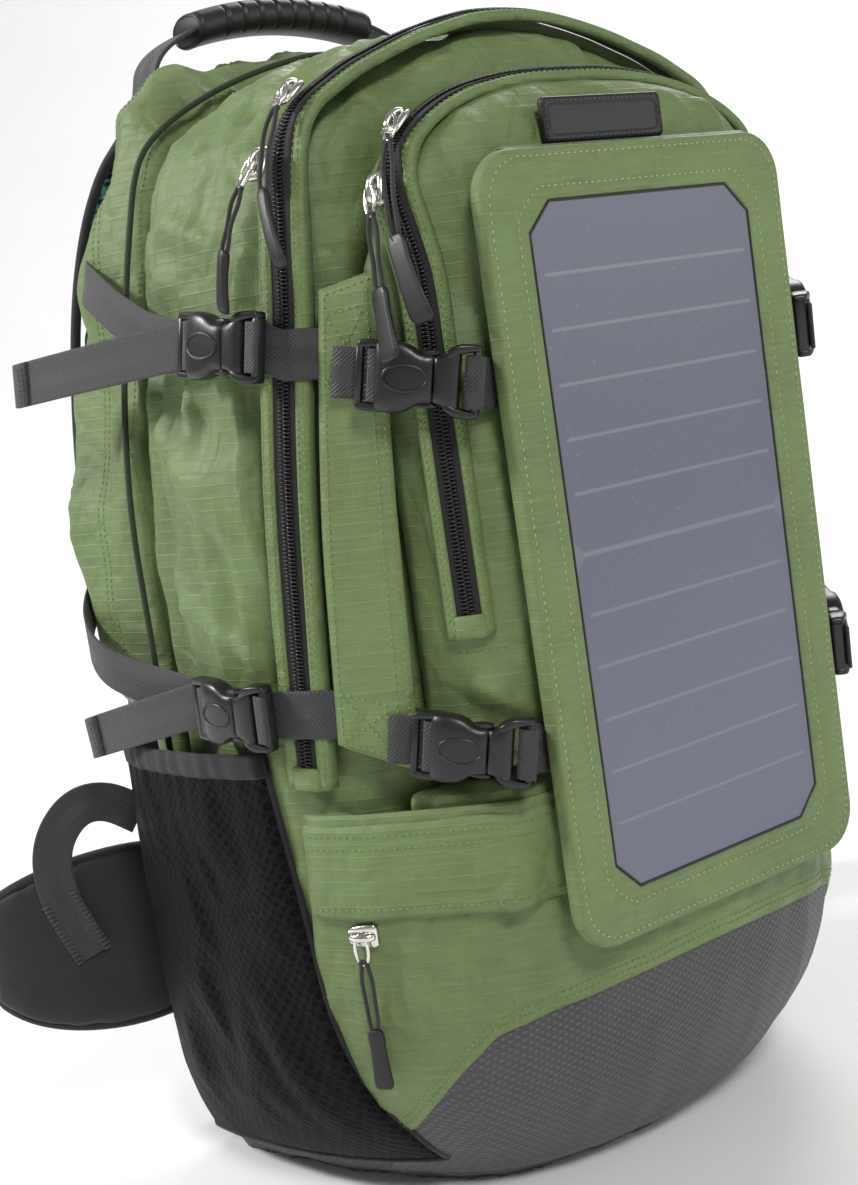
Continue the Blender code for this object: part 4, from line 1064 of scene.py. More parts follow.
def finish_cloth(node, cloth, slot, *marks, after=None, **more):
    """Finishes the shell of one CAD node and gives it its cloth."""
    shell = SHELLS[node + "_shell"]
    finish_shell(shell, TREES[node + "_shell"], *marks, **more)
    if after:
        after(shell)
    dress(shell, cloth, "bag", replaces=[node], slot=slot)


def make_body():
    seam_72 = [hoop(72, REAR_ARCH, 60, rear_rise)]
    seam_43 = [hoop(44, REAR_ARCH, 40, rear_rise)]
    front_edge = [hoop(REAR_FRONT_Y, REAR_ARCH, 34, rear_rise)]
    finish_cloth("rear_compartment", GREEN, "green_ripstop", 2.4, PRESSES, (REAR_FRONT_Y, REAR_BACK_Y),
                 [(seam_72, 1.0, 5, 0.5), (seam_43, 0.7, 4, 0.45), (front_edge, 2.4, 5.5, 0.4)],
                 [(side_line(-1, [(86, 470), (80, 440), (84, 400)]), 1.6, 7),
                  (side_line(-1, [(60, 452), (56, 420), (58, 380)]), 1.8, 8),
                  (side_line(-1, [(60, 395), (50, 350), (57, 300)]), 1.8, 6),
                  (side_line(-1, [(88, 372), (84, 320), (90, 262)]), 1.7, 8),
                  (side_line(-1, [(66, 286), (60, 246), (66, 212)]), 1.6, 7),
                  (side_line(1, [(60, 452), (56, 420), (60, 370)]), 1.6, 8)],
                 seed=2.0, amount=1.0, crisp=1.15, after=swell_rear)

    rear_edge = [hoop(MAIN_BACK_Y, MAIN_ARCH, 34, main_rise)]
    front_line = [hoop(MAIN_FRONT_Y, MAIN_ARCH, 60, main_rise)]
    folds = []
    for side, _ in SIDES:
        folds += [(side_line(side, [(28, 440), (8, 415), (-20, 408)]), 2.2, 8),
                  (side_line(side, [(24, 376), (2, 344), (-24, 328), (-44, 300)]), 2.6, 6),
                  (side_line(side, [(14, 300), (-4, 275), (-30, 262), (-50, 250)]), 1.8, 5),
                  (side_line(side, [(30, 270), (14, 262), (4, 250)]), 1.6, 4),
                  (side_line(side, [(20, 430), (-6, 436), (-40, 424), (-58, 410)]), 2.0, 6),
                  (side_line(side, [(-20, 372), (-30, 350), (-26, 320)]), -1.8, 5),
                  (side_line(side, [(30, 338), (8, 305), (-10, 280)]), -1.6, 6),
                  (side_line(side, [(-52, 340), (-56, 300), (-50, 262)]), 2.4, 8),
                  (side_line(side, [(-74, 180), (-62, 150), (-70, 120)]), 2.2, 5),
                  (side_line(side, [(-84, 186), (-78, 160), (-86, 132)]), -1.8, 4)]
    finish_cloth("main_compartment", GREEN, "green_ripstop", 2.4, PRESSES + ZIP_PRESSES, (MAIN_FRONT_Y, MAIN_BACK_Y),
                 [(rear_edge, 3.4, 6.5, 0.5), (front_line, 2.4, 5.0, 0.5)], folds, seed=7.0, amount=1.1, crisp=1.25)

    back_edge = [hoop(-95.6, FRONT_ARCH, 200, no_rise)]
    gusset = [hoop(-101, FRONT_ARCH, 205, no_rise)]
    bottom = [[(x, y, 196) for x, y in both_halves(plan(196)[:8])]]
    folds = []
    for side, _ in SIDES:
        folds += [([(side * 112, -108, 420), (side * 104, -112, 400), (side * 108, -108, 378)], 1.6, 6),
                  ([(side * 100, -128, 330), (side * 106, -122, 300), (side * 98, -130, 270)], 1.6, 8),
                  ([(side * 100, -128, 240), (side * 90, -135, 228), (side * 74, -139, 222)], 2.0, 5),
                  ([(side * 104, -122, 232), (side * 94, -131, 216), (side * 84, -137, 206)], -1.4, 4)]
    finish_cloth("front_pocket", GREEN, "green_ripstop", 1.8, PRESSES + ZIP_PRESSES, (FRONT_BACK_Y,),
                 [(back_edge, 2.6, 5.0, 0.4), (gusset, 0.7, 4, 0.35), (bottom, 2.2, 5, 0.6)], folds, seed=11.0,
                 amount=0.9, crisp=1.0)

    boot_edge = [boot_line(BOOT_EDGE_LIFT)]
    folds = []
    for side, _ in SIDES:
        folds += [([(side * 96, -122, 192), (side * 88, -130, 186), (side * 74, -136, 184)], 1.8, 4),
                  ([(side * 84, -128, 140), (side * 92, -120, 112), (side * 84, -120, 84)], 1.8, 8),
                  ([(side * 104, -110, 132), (side * 100, -108, 100), (side * 104, -96, 72)], 1.6, 7),
                  ([(side * 60, -138, 138), (side * 50, -139, 126), (side * 30, -141, 122)], 1.3, 6)]
    finish_cloth("lower_pocket", GREEN, "green_ripstop", 1.9, PRESSES + [(FLAP_LINE, 17, 0.2)], (FRONT_BACK_Y,),
                 [(bottom, 2.2, 5, 0.8), (boot_edge, 1.0, 5, 0.4)], folds, seed=15.0, amount=1.0, crisp=0.8)
    finish_cloth("base_boot", GREY, "grey_ballistic", 1.4, PRESSES, (), [(boot_edge, 0.8, 4, 0.3)], (),
                 rough_size=(70, 70, 50), amount=0.7, seed=21.0, floor=True, crisp=0.3)


def boot_line(lift):
    """The boot's upper edge all round, left rear to right rear."""
    half = []
    for x in (0.1, 22, 44, 64, 80, 92):
        z = BOOT_FRONT_Z
        for _ in range(30):
            z = 0.5 * z + 0.5 * boot_top(front_y(x, z))
        half.append((x, front_y(x, z), z + lift))
    for y in (-116, -107, -98, -89, -80, -71, -62, -50, -30, 0, 30, 58, 76, 87):
        z = boot_top(y)
        half.append((side_point(y, z), y, z + lift))
    return both_halves(half, 1)


make_body()
BODY_TREE = tree_of(*[SHELLS[node + "_shell"] for node in (
    "rear_compartment", "main_compartment", "front_pocket", "lower_pocket", "base_boot")])


def outward(points):
    """Rough outward directions for points round the bag: away from its middle line."""
    made = []
    for x, y, z in points:
        if z > 440 and abs(x) < 118:
            way = Vector((x / 90, 0.0, (z - 400) / 70))
        else:
            way = Vector((x / 100, min(0.0, (y + 60) / 60), 0))
        made.append(tuple(way.normalized() if way.length > 0.01 else Vector((0, -1, 0))))
    return np.array(made)


def on_cloth(line, step=3.0, reach=14, times=2):
    rows = respace(round_corners(line, times), step)
    return snap(BODY_TREE, rows, outward(rows), reach)


def thin_shell(name, nu, nv, outer, inner, look, body, **extra):
    """A closed thin piece between two gridded faces; outer and inner take shares from 0 to 1."""
    top = [[outer(i / nu, j / nv) for j in range(nv + 1)] for i in range(nu + 1)]
    bottom = [[inner(i / nu, j / nv) for j in range(nv + 1)] for i in range(nu + 1)]
    verts = [tuple(p) for row in top for p in row] + [tuple(p) for row in bottom for p in row]
    shift = (nu + 1) * (nv + 1)
    faces = []

    def index(i, j):
        return i * (nv + 1) + j

    for i in range(nu):
        for j in range(nv):
            a, b, c, d = index(i, j), index(i + 1, j), index(i + 1, j + 1), index(i, j + 1)
            faces.append((a, b, c, d))
            faces.append((shift + a, shift + d, shift + c, shift + b))
    edge = [(i, 0) for i in range(nu)] + [(nu, j) for j in range(nv)]
    edge += [(i, nv) for i in range(nu, 0, -1)] + [(0, j) for j in range(nv, 0, -1)]
    for (a, b), (c, d) in zip(edge, edge[1:] + edge[:1]):
        faces.append((index(a, b), index(c, d), shift + index(c, d), shift + index(a, b)))
    return piece(name, verts, faces, look, body, **extra)


def edge_drop(s, t, reach_s, reach_t):
    """1 in the middle of a sheet and falling smoothly to 0 at its edges."""
    a = clamp(min(s, 1 - s) / reach_s, 0, 1)
    b = clamp(min(t, 1 - t) / reach_t, 0, 1)
    return math.sqrt(max(0.0, 1 - (1 - a) ** 2)) * math.sqrt(max(0.0, 1 - (1 - b) ** 2))


# ---------------------------------------------------------------- sewn panels on the sides

def wing_place(side, s, t, off):
    bottom = 219 - 14 * s
    top = 398 + 5 * s
    z = bottom + (top - bottom) * t
    y = wing_left_y(z) + (wing_right_y(z) - wing_left_y(z)) * s
    return on_side(side, y, z, off)


def make_wing(side, tag):
    def outer(s, t):
        swell = noise.fractal(Vector((s * 0.9, t * 4.2, 3.1 * side)), 1.0, 2.0, 3)
        ripple = math.exp(-((t - 0.5) / 0.42) ** 4) * 0.5 * math.sin(9 * t + 3 * s)
        return wing_place(side, s, t, 3.6 + (1.7 + 0.7 * swell + 0.3 * ripple) * edge_drop(s, t, 0.12, 0.025))

    wing = thin_shell("side_wing_panel_" + tag, 14, 60, outer, lambda s, t: wing_place(side, s, t, 2.6), GREEN, "bag",
                      replaces=["side_wing_" + tag], slot="green_ripstop")
    tree = tree_of(wing)
    rows = []
    inset_s, inset_t = 0.11, 0.016
    for line in ([(inset_s, inset_t), (inset_s, 1 - inset_t)], [(inset_s, inset_t), (0.98, inset_t)],
                 [(inset_s, 1 - inset_t), (0.98, 1 - inset_t)], [(0.8, 0.02), (0.8, 0.98)],
                 [(0.94, 0.02), (0.94, 0.98)],
                 [(0.12, 0.125), (0.75, 0.125)], [(0.12, 0.018), (0.75, 0.125)], [(0.12, 0.125), (0.75, 0.018)],
                 [(0.12, 0.8), (0.75, 0.8)], [(0.12, 0.94), (0.75, 0.8)], [(0.12, 0.8), (0.75, 0.94)],
                 [(0.12, 0.94), (0.75, 0.94)]):
        (a, b), (c, d) = line
        marks = [(a + (c - a) * k / 40, b + (d - b) * k / 40) for k in range(41)]
        points = np.array([wing_place(side, s, t, 5) for s, t in marks])
        normals = np.array([Vector(wing_place(side, s, t, 9)) - Vector(wing_place(side, s, t, 1)) for s, t in marks])
        rows.append(snap(tree, points, normals, 8))
    stitches("side_wing_stitching_" + tag, rows, GREEN_THREAD, "bag")


def pocket_place(side, s, t, extra=0.0):
    front = -68 + 24 * clamp((210 * t - 20) / 190, 0, 1) ** 0.9
    y = front + (79 - front) * s
    bottom = 14 + 0.06 * (78 - y)
    top = 209 + 0.04 * (78 - y)
    z = bottom + (top - bottom) * t
    ends = math.sin(math.pi * clamp(s, 0, 1)) ** 0.34
    depth = 1.6 + 10.6 * ends * (0.25 + 0.75 * min(1.0, t * 5.5) ** 0.6) * (1 - 0.16 * t * t)
    drape = noise.fractal(Vector((s * 4.6 - t * 2.4, t * 2.2, 5.0 * side)), 1.0, 2.0, 3)
    creases = math.sin(15 * s + 9 * t + 3 * drape) * 1.3 + 1.8 * drape
    gather = 0.5 * math.sin(70 * s) * math.exp(-((t - 0.94) / 0.08) ** 2)
    room = ends * clamp(t * 4, 0, 1) * clamp((1 - t) * 7, 0.15, 1)
    return on_side(side, y, z, depth + creases * room + gather * ends + extra)


def make_mesh_pocket(side, tag):
    laid = []
    for i in range(65):
        for j in range(85):
            s, t = i / 64, j / 84
            warp = 9 * noise.noise(Vector((s * 2.6, t * 2.2, 3.0)))
            laid.append((115 * s + 120 * t + warp, 150 * t - 95 * s + 0.8 * warp))
    pocket = thin_shell("mesh_pocket_net_" + tag, 64, 84, lambda s, t: pocket_place(side, s, t, 0.3),
                        lambda s, t: pocket_place(side, s, t, -0.5), BLACK_MESH, "bag", uv=laid + laid,
                        replaces=["mesh_pocket_" + tag], slot="black_mesh")
    band = ((0.948, 0.3), (0.955, 1.2), (0.975, 1.6), (0.995, 1.4), (1.004, 0.7), (1.004, -0.7), (0.97, -1.0))
    rings = []
    for k in range(61):
        s = k / 60
        stretch = 0.12 * math.sin(95 * s)
        rings.append([pocket_place(side, s, t, off + (stretch if off > 0.5 else 0)) for t, off in band])
    piece("mesh_pocket_elastic_" + tag, *sweep(rings), BINDING, "bag")
    parts = []
    for s in (0.0, 1.0):
        line = [pocket_place(side, s, t / 20, 0.2) for t in range(21)]
        parts.append(tube_shape(line, 1.5, 8, flat=0.7, up=(0.2, 1, 0.1)))
    parts.append(tube_shape([pocket_place(side, k / 30, 0.0, 0.2) for k in range(31)], 1.4, 8))
    piece("mesh_pocket_binding_" + tag, *merge(parts), BINDING, "bag")


def make_flap():
    half = [p for p in respace([(x, y, 0) for x, y in plan(168)[:12]], 3.0) if p[1] < -58]
    line = both_halves([(p[0], p[1]) for p in half], 1)
    count = len(line)
    rings = []
    edge_top = []
    edge_low = []
    for i, (x, y) in enumerate(line):
        a = line[max(0, i - 1)]
        b = line[min(count - 1, i + 1)]
        length = math.hypot(b[0] - a[0], b[1] - a[1])
        nx, ny = (b[1] - a[1]) / length, -(b[0] - a[0]) / length
        wave = noise.noise(Vector((x / 34, y / 34, 4.0)))
        sag = noise.noise(Vector((x / 22, y / 22, 8.0)))
        ring = []
        for z, off in ((185, 1.4), (184.4, 3.2), (181.5, 4.0 + 0.5 * wave), (174, 4.2 + 0.9 * wave),
                       (163, 4.8 + 1.1 * wave), (152, 5.2 + 0.8 * sag), (147.5, 5.3 + 0.6 * sag), (145.4, 4.7),
                       (145.7, 3.6), (152, 2.4), (182, 1.2)):
            shift = Vector((x, y, 0)) + Vector((nx, ny, 0)) * off
            base = front_edge_at(z, x, y)
            ring.append((shift.x + base[0], shift.y + base[1], z + 0.8 * sag))
        rings.append(ring)
        edge_top.append((ring[2], (nx, ny, 0.1)))
        edge_low.append((ring[6], (nx, ny, 0.0)))
    flap = piece("lower_pocket_welt", *sweep(rings), GREEN, "bag", replaces=["lower_pocket_flap"], slot="green_ripstop")
    tree = tree_of(flap)
    runs = []
    for z, source in ((180.0, edge_top), (174.5, edge_top), (149.5, edge_low)):
        points = np.array([(p[0], p[1], z) for p, _ in source])
        normals = np.array([n for _, n in source], float)
        runs.append(snap(tree, points, normals, 10))
    stitches("lower_pocket_welt_stitching", runs, GREEN_THREAD, "bag")


def front_edge_at(z, x, y):
    """How far the bag's outline at height z lies from its outline at 168, near this point."""
    if abs(x) < 84:
        return 0.0, front_y(x, z) - front_y(x, 168)
    return math.copysign(side_point(y, z) - side_point(y, 168), x), 0.0


BOOT_EDGE = [(0, 105), (1, 104), (1.95, 101), (2.6, 98), (3.57, 91), (4.2, 78), (4.6, 68), (5.1, 54), (5.5, 43),
             (5.9, 35)]
SKIRT_REACH = [(9, 6.2), (30, 5.9), (44, 5.8), (83, 6.8), (128, 7.15), (189, 7.3)]


def outline_spot(share, z, off):
    """A place on the bag's outline at height z; share counts the outline's marks from the front centre."""
    line = plan(z)
    spots = []
    for k in (abs(share) - 0.35, abs(share), abs(share) + 0.35):
        i = int(clamp(math.floor(abs(k)), 0, len(line) - 2))
        t = abs(k) - i
        x = line[i][0] + (line[i + 1][0] - line[i][0]) * t
        spots.append((-x if k < 0 else x, line[i][1] + (line[i + 1][1] - line[i][1]) * t))
    (xa, ya), (x, y), (xb, yb) = spots
    length = math.hypot(xb - xa, yb - ya)
    nx, ny = (yb - ya) / length, -(xb - xa) / length
    hand = -1 if share < 0 else 1
    return Vector((hand * (x + nx * off), y + ny * off, z))


def skirt_cut(s):
    """Height where the grey boot meets the green cloth, at a share s of the way round."""
    z = 60.0
    for _ in range(12):
        z = 0.5 * z + 0.5 * lerp_table(BOOT_EDGE, abs(s) * lerp_table(SKIRT_REACH, z))
    return z


def skirt(name, look, low_of, high_of, off, rise, seed, steps):
    """A sewn panel wrapped round the front of the bag between two heights."""
    count = 128

    def place(s, t, extra):
        s = 2 * s - 1
        low, high = low_of(s), high_of(s)
        z = low + (high - low) * t
        return outline_spot(s * lerp_table(SKIRT_REACH, z), z, extra)

    def outer(s, t):
        spot = place(s, t, off)
        p = Vector((spot.x / 24, spot.y / 24, spot.z / 38 + seed))
        crease = (0.3 - abs(noise.noise(p * 1.6))) * 1.5
        flat = 0.3 if abs(spot.x) < 90 and spot.z > 118 else 1.0
        lift = (1.0 * noise.noise(p) + crease) * edge_drop(s, t, 0.02, 0.1) * rise * flat
        return place(s, t, off + max(-1.3, lift))

    made = thin_shell(name, count, steps, outer, lambda s, t: place(s, t, off - 1.4), look, "bag")
    return made, [place(k / 200, 0.0, off) for k in range(201)]


def make_skirts():
    green, edge = skirt("lower_front_panel", GREEN, lambda s: skirt_cut(s) - 1.5, lambda s: 189, 2.5, 1.7, 3.0, 56)
    skirt("boot_front_panel", GREY, lambda s: 9.0, skirt_cut, 1.5, 0.5, 9.0, 40)
    tree = tree_of(green)
    runs = []
    for lift in (4.0, 7.0):
        points = np.array([(p[0], p[1], p[2] + lift) for p in edge])
        runs.append(snap(tree, points, outward(points), 14))
    stitches("lower_front_stitching", runs, GREEN_THREAD, "bag")


make_flap()
make_skirts()
for side, tag in SIDES:
    make_wing(side, tag)
    make_mesh_pocket(side, tag)


# ---------------------------------------------------------------- seams

def seam_rows():
    runs = []
    for y in (74, 70, 45):
        runs.append(on_cloth(hoop(y, REAR_ARCH, 214, rear_rise), reach=26))
    for y in (-99.5, -103):
        runs.append(on_cloth(hoop(y, FRONT_ARCH, 206, no_rise)))
    for side, _ in SIDES:
        runs.append(on_cloth([(side * 102, -124, 250), (side * 92, -134, 250), (side * 84, -138, 250)]))
    return runs


def make_seams():
    stitches("body_stitching", seam_rows(), GREEN_THREAD, "bag")
    line, ways = on_cloth(boot_line(0.0), 3.0)
    piece("boot_piping", *tube_shape([p + n * 0.3 for p, n in zip(line, ways)], 1.3, 8), BINDING, "bag")
    # A very dark green tube along the joint between the main and rear compartments: painted shade of the groove there.
    rows = respace(round_corners(hoop(38, MAIN_ARCH, 60, main_rise, 1.6), 2), 4)
    piece("joint_groove_shade", *tube_shape(rows, 1.5, 8, up=(0, 1, 0)), GROOVE_SHADE_GREEN, "bag")


make_seams()


# ---------------------------------------------------------------- zips

def zip_rows(arch, y_of, levels, rise_of):
    """Rows of (point, normal, across) along a zip over its arch, from the right end to the left."""
    half = arch_half(arch, y_of, levels, rise_of)
    rows = []
    for i, p in enumerate(half):
        a = Vector(half[max(0, i - 1)])
        b = Vector(half[i + 1]) if i < len(half) - 1 else Vector((-p[0], p[1], p[2]))
        along = (b - a).normalized()
        x, y, z = p
        if lerp_table(arch, z) < side_point(y, min(z, 500)) - 0.5:
            base = Vector((0, 1, 0))
        else:
            base = Vector((side_point(y + 5, z) - side_point(y - 5, z), 10, 0))
        across = (base - along * base.dot(along)).normalized()
        normal = across.cross(along).normalized()
        if (normal.x < 0 and normal.z < 0.3) or (normal.z < 0 and normal.x <= 0.3):
            normal = -normal
        rows.append([*p, *normal, *across])
    mirrored = [[-r[0], r[1], r[2], -r[3], r[4], r[5], -r[6], r[7], r[8]] for r in reversed(rows)]
    made = respace(round_corners(rows + mirrored, 2), ZIP_STEP)
    made[:, 3:6] = unit(made[:, 3:6])
    made[:, 6:9] = unit(made[:, 6:9])
    return made


def make_zip(name, node, rows, coil, tape, gap, welt_front, welt_rear, low_top):
    points, normals, across = rows[:, :3], rows[:, 3:6], rows[:, 6:9]
    coarse = slice(0, None, 4)
    run = np.arange(len(rows)) * ZIP_STEP
    rings = []
    uv = []
    section = [(-1, 1.5), (-1, 2.1), (-0.7, 2.3), (0.7, 2.3), (1, 2.1), (1, 1.5)]
    for p, n, a, d in zip(points[coarse], normals[coarse], across[coarse], run[coarse]):
        rings.append([tuple(p + a * (s * tape) + n * h) for s, h in section])
        uv += [(d, s * tape + 20) for s, h in section]
    piece(name + "_tape", *sweep(rings), TAPE, "bag", uv=uv, replaces=[node], slot="zip_coil")
    parts = []
    for k in range(2, len(rows) - 2):
        hand = 1 if k % 2 else -1
        p, n, a = points[k], normals[k], across[k]
        t = unit(points[k + 1] - points[k - 1])
        c = p + n * 2.9 + a * (hand * coil * 0.42)
        ring = []
        for along, half, high in ((-0.62, 0.45, 0.35), (-0.5, 0.95, 0.8), (0.5, 0.95, 0.8), (0.62, 0.45, 0.35)):
            mid = c + a * (along * coil * 1.05)
            ring.append([tuple(mid + t * (half * 0.36) + n * -0.5), tuple(mid + t * (half * 0.34) + n * high * 0.75),
                         tuple(mid + n * high), tuple(mid - t * (half * 0.34) + n * high * 0.75),
                         tuple(mid - t * (half * 0.36) + n * -0.5)])
        parts.append(sweep(ring))
    piece(name + "_coil", *merge(parts), COIL, "bag", slot="zip_coil")
    parts = []
    runs = []
    for hand, wide in ((-1, welt_front), (1, welt_rear)):
        rings = []
        edge = []
        for i in range(0, len(rows), 4):
            p, n, a = points[i], normals[i], across[i] * hand
            ripple = 0.35 * noise.noise(Vector(tuple(p / 11)))
            ring = []
            k = 1.0 - low_top * clamp((p[2] - 415) / 40, 0, 1)
            for s, h in ((gap + 0.2, 0.6), (gap, 2.4 * k), (gap + 0.5, 3.3 * k), (gap + 1.8, (3.5 + ripple) * k),
                         (wide - 2.2, (3.1 + ripple) * k), (wide - 0.5, (2.0 + ripple) * k), (wide, 0.4), (wide, -3.5),
                         (gap + 2.0, -3.5)):
                ring.append(tuple(p + a * s + n * h))
            rings.append(ring)
            edge.append((p, n, a))
        parts.append(sweep(rings))
        for s in (gap + 1.5, wide - 1.9):
            line = np.array([p + a * s + n * 6 for p, n, a in edge])
            runs.append((line, np.array([n for p, n, a in edge])))
    welts = piece(name + "_welts", *merge(parts), GREEN, "bag", slot="green_ripstop")
    tree = tree_of(welts)
    stitches(name + "_stitching", [snap(tree, line, ways, 6) for line, ways in runs], GREEN_THREAD, "bag")


def zip_ends(name, rows, width):
    """Cloth tabs that finish the two ends of a zip."""
    parts = []
    for i, step in ((0, 1), (len(rows) - 1, -1)):
        rings = []
        for k in range(5):
            j = i + step * k * 3
            p, n, a = rows[j, :3], rows[j, 3:6], rows[j, 6:9]
            rings.append([tuple(p + a * s + n * h) for s, h in ((-width, 0.4), (-width, 2.8), (-width + 1, 4.3),
                                                                (width - 1, 4.3), (width, 2.8), (width, 0.4))])
        parts.append(sweep(rings))
    piece(name + "_end_tabs", *merge(parts), GREEN, "bag")


MAIN_LEVELS = (200, 240, 280, 320, 360, 395, 410, 423, 436, 449, 460, 470, 477, 483, 489, 494, 500, 503)
FRONT_LEVELS = (256, 290, 325, 360, 395, 410, 425, 434, 443, 454, 462, 467, 471, 472)
MAIN_ROWS = zip_rows(MAIN_ARCH, main_zip_y, MAIN_LEVELS, main_rise)
FRONT_ROWS = zip_rows(FRONT_ARCH, front_zip_y, FRONT_LEVELS, no_rise)
make_zip("main_zip", "main_zip_track", MAIN_ROWS, 2.6, 6.3, 5.2, 11.0, 11.6, 0.7)
make_zip("front_zip", "front_zip_track", FRONT_ROWS, 2.4, 5.9, 4.8, 9.5, 9.8, 0.75)
zip_ends("main_zip", MAIN_ROWS, 7)
zip_ends("front_zip", FRONT_ROWS, 6.5)


def make_slider(name, centre, tangent, normal, end, bow, width, flat, cord_share):
    """Slider body, bridge and ring with two cords and a rubber end that hangs to the given point."""
    t = Vector(tangent).normalized()
    n = Vector(normal).normalized()
    s = t.cross(n).normalized()
    c = Vector(centre)
    start = c + n * 3.6
    finish = Vector(end)
    control = (start + finish) / 2 + Vector((n.x, n.y, 0)).normalized() * bow

    def hang(u):
        return start * (1 - u) ** 2 + control * (2 * u * (1 - u)) + finish * u ** 2

    drop = (hang(0.12) - start).normalized()
    side = drop.cross(n).normalized()
    lie = side.cross(drop).normalized()
    if lie.dot(n) < 0:
        lie = -lie
    length = (finish - start).length
    parts = []
    rings = []
    for along, half, low, high in ((-7.0, 2.4, 0.6, 1.6), (-5.8, 3.5, 0.1, 2.5), (-2.5, 4.3, 0.0, 3.0),
                                   (2.0, 4.9, 0.0, 3.0), (5.0, 5.0, 0.0, 2.8), (6.6, 4.2, 0.2, 2.3)):
        mid = c + t * along + n * ((low + high) / 2)
        rings.append([tuple(mid + s * a + n * b) for a, b in rounded(half, (high - low) / 2, 0.5, 16)])
    parts.append(sweep(rings))
    arch = [c + t * (5.2 * math.cos(a)) + n * (2.4 + 2.7 * math.sin(a)) for a in
            (math.pi * k / 12 for k in range(13))]
    parts.append(tube_shape(arch, 1.15, 10, flat=1.5, up=s))
    ring = []
    for k in range(24):
        a = 2 * math.pi * k / 24
        ring.append(start + drop * (5.0 + 6.4 * math.cos(a)) + side * (2.9 * math.sin(a)) + lie * 1.2)
    parts.append(tube_shape(ring, 0.8, 8, closed=True, up=lie))
    piece(name + "_metal", *merge(parts), NICKEL, name, replaces=[name], slot="nickel")
    first = 10.6 / length
    parts = []
    for hand in (-1, 1):
        line = []
        for k in range(21):
            u = first + (cord_share + 0.03 - first) * k / 20
            apart = math.sin(math.pi * k / 20) ** 0.8 * 1.5 + 0.9
            line.append(hang(u) + side * (hand * apart) + lie * (1.3 + 0.5 * hand * math.sin(k * 0.42)))
        parts.append(tube_shape(line, 0.95, 8, up=lie))
    knot = hang(first) + lie * 1.3
    parts.append(tube_shape([knot - side * 1.9 + drop * 0.8, knot - side * 1.3 - drop * 0.6, knot - drop * 1.0,
                             knot + side * 1.3 - drop * 0.6, knot + side * 1.9 + drop * 0.8], 0.95, 8,
                            up=lie))
    piece(name + "_cord", *merge(parts), CORD, name)
    rings = []
    for share, half, thick in ((0.0, 0.5, 0.8), (0.03, 0.72, 1.0), (0.12, 0.84, 1.08), (0.3, 0.8, 1.0),
                               (0.6, 0.88, 0.96), (0.85, 1.0, 1.0), (0.94, 0.98, 0.96), (0.985, 0.8, 0.75),
                               (1.0, 0.5, 0.4)):
        mid = hang(cord_share + (1 - cord_share) * share) + lie * 1.4
        rings.append([tuple(mid + side * a + lie * b) for a, b in rounded(half * width / 2, thick * flat, 0.5, 18)])
    piece(name + "_tab", *sweep(rings), RUBBER, name, slot="black_rubber")


def make_sliders():
    for name, z, y, table, arc, end, bow, width, flat in (
            ("main_zip_slider_upper", 470, -83.5, MAIN_ARCH, MAIN_TOP_ARC, (-145, -109, 407), 18, 6.4, 1.9),
            ("main_zip_slider_lower", 446, -83, MAIN_ARCH, MAIN_SIDE_ARC, (-149, -70, 394), 10, 6.4, 1.9),
            ("front_zip_slider_upper", 451, -121, FRONT_ARCH, FRONT_TOP_ARC, (-114, -150, 379), 14, 10.5, 1.2),
            ("front_zip_slider_lower", 430, -123.5, FRONT_ARCH, FRONT_SIDE_ARC, (-123.5, -139, 367), 2, 10.5, 1.2)):
        x = -lerp_table(table, z)
        radial = Vector((x - arc[0], 0, z - arc[1])).normalized()
        tangent = Vector((-radial.z, 0, radial.x))
        make_slider(name, Vector((x, y, z)) + radial * 5.1, tangent, radial, end, bow, width, flat, 0.58)
    low = Vector(on_side(-1, -80, 138, 0))
    normal = (Vector(on_side(-1, -80, 138, 10)) - low).normalized()
    centre = low + normal * 2.4
    make_slider("lower_zip_slider", centre, Vector((-normal.y, normal.x, 0)), normal, centre + normal * 2.0
                + Vector((0, 0, -66)), 0, 8.4, 1.5, 0.6)


make_sliders()


# ---------------------------------------------------------------- buckles

def box_loft(place, rows, power=0.5, count=20, axis="u"):
    """Rounded box sections along u (or v): rows of (station, half width, low, high[, shift])."""
    rings = []
    for station, half, low, high, *shift in rows:
        ring = []
        for a, b in rounded(half, (high - low) / 2, power, count):
            w = (low + high) / 2 + b
            a += shift[0] if shift else 0.0
            ring.append(tuple(at(place, station, a, w)) if axis == "u" else tuple(at(place, a, station, w)))
        rings.append(ring)
    return sweep(rings)


def shifted(place, u=0.0, v=0.0, w=0.0):
    return place @ Matrix.Translation((u, v, w))


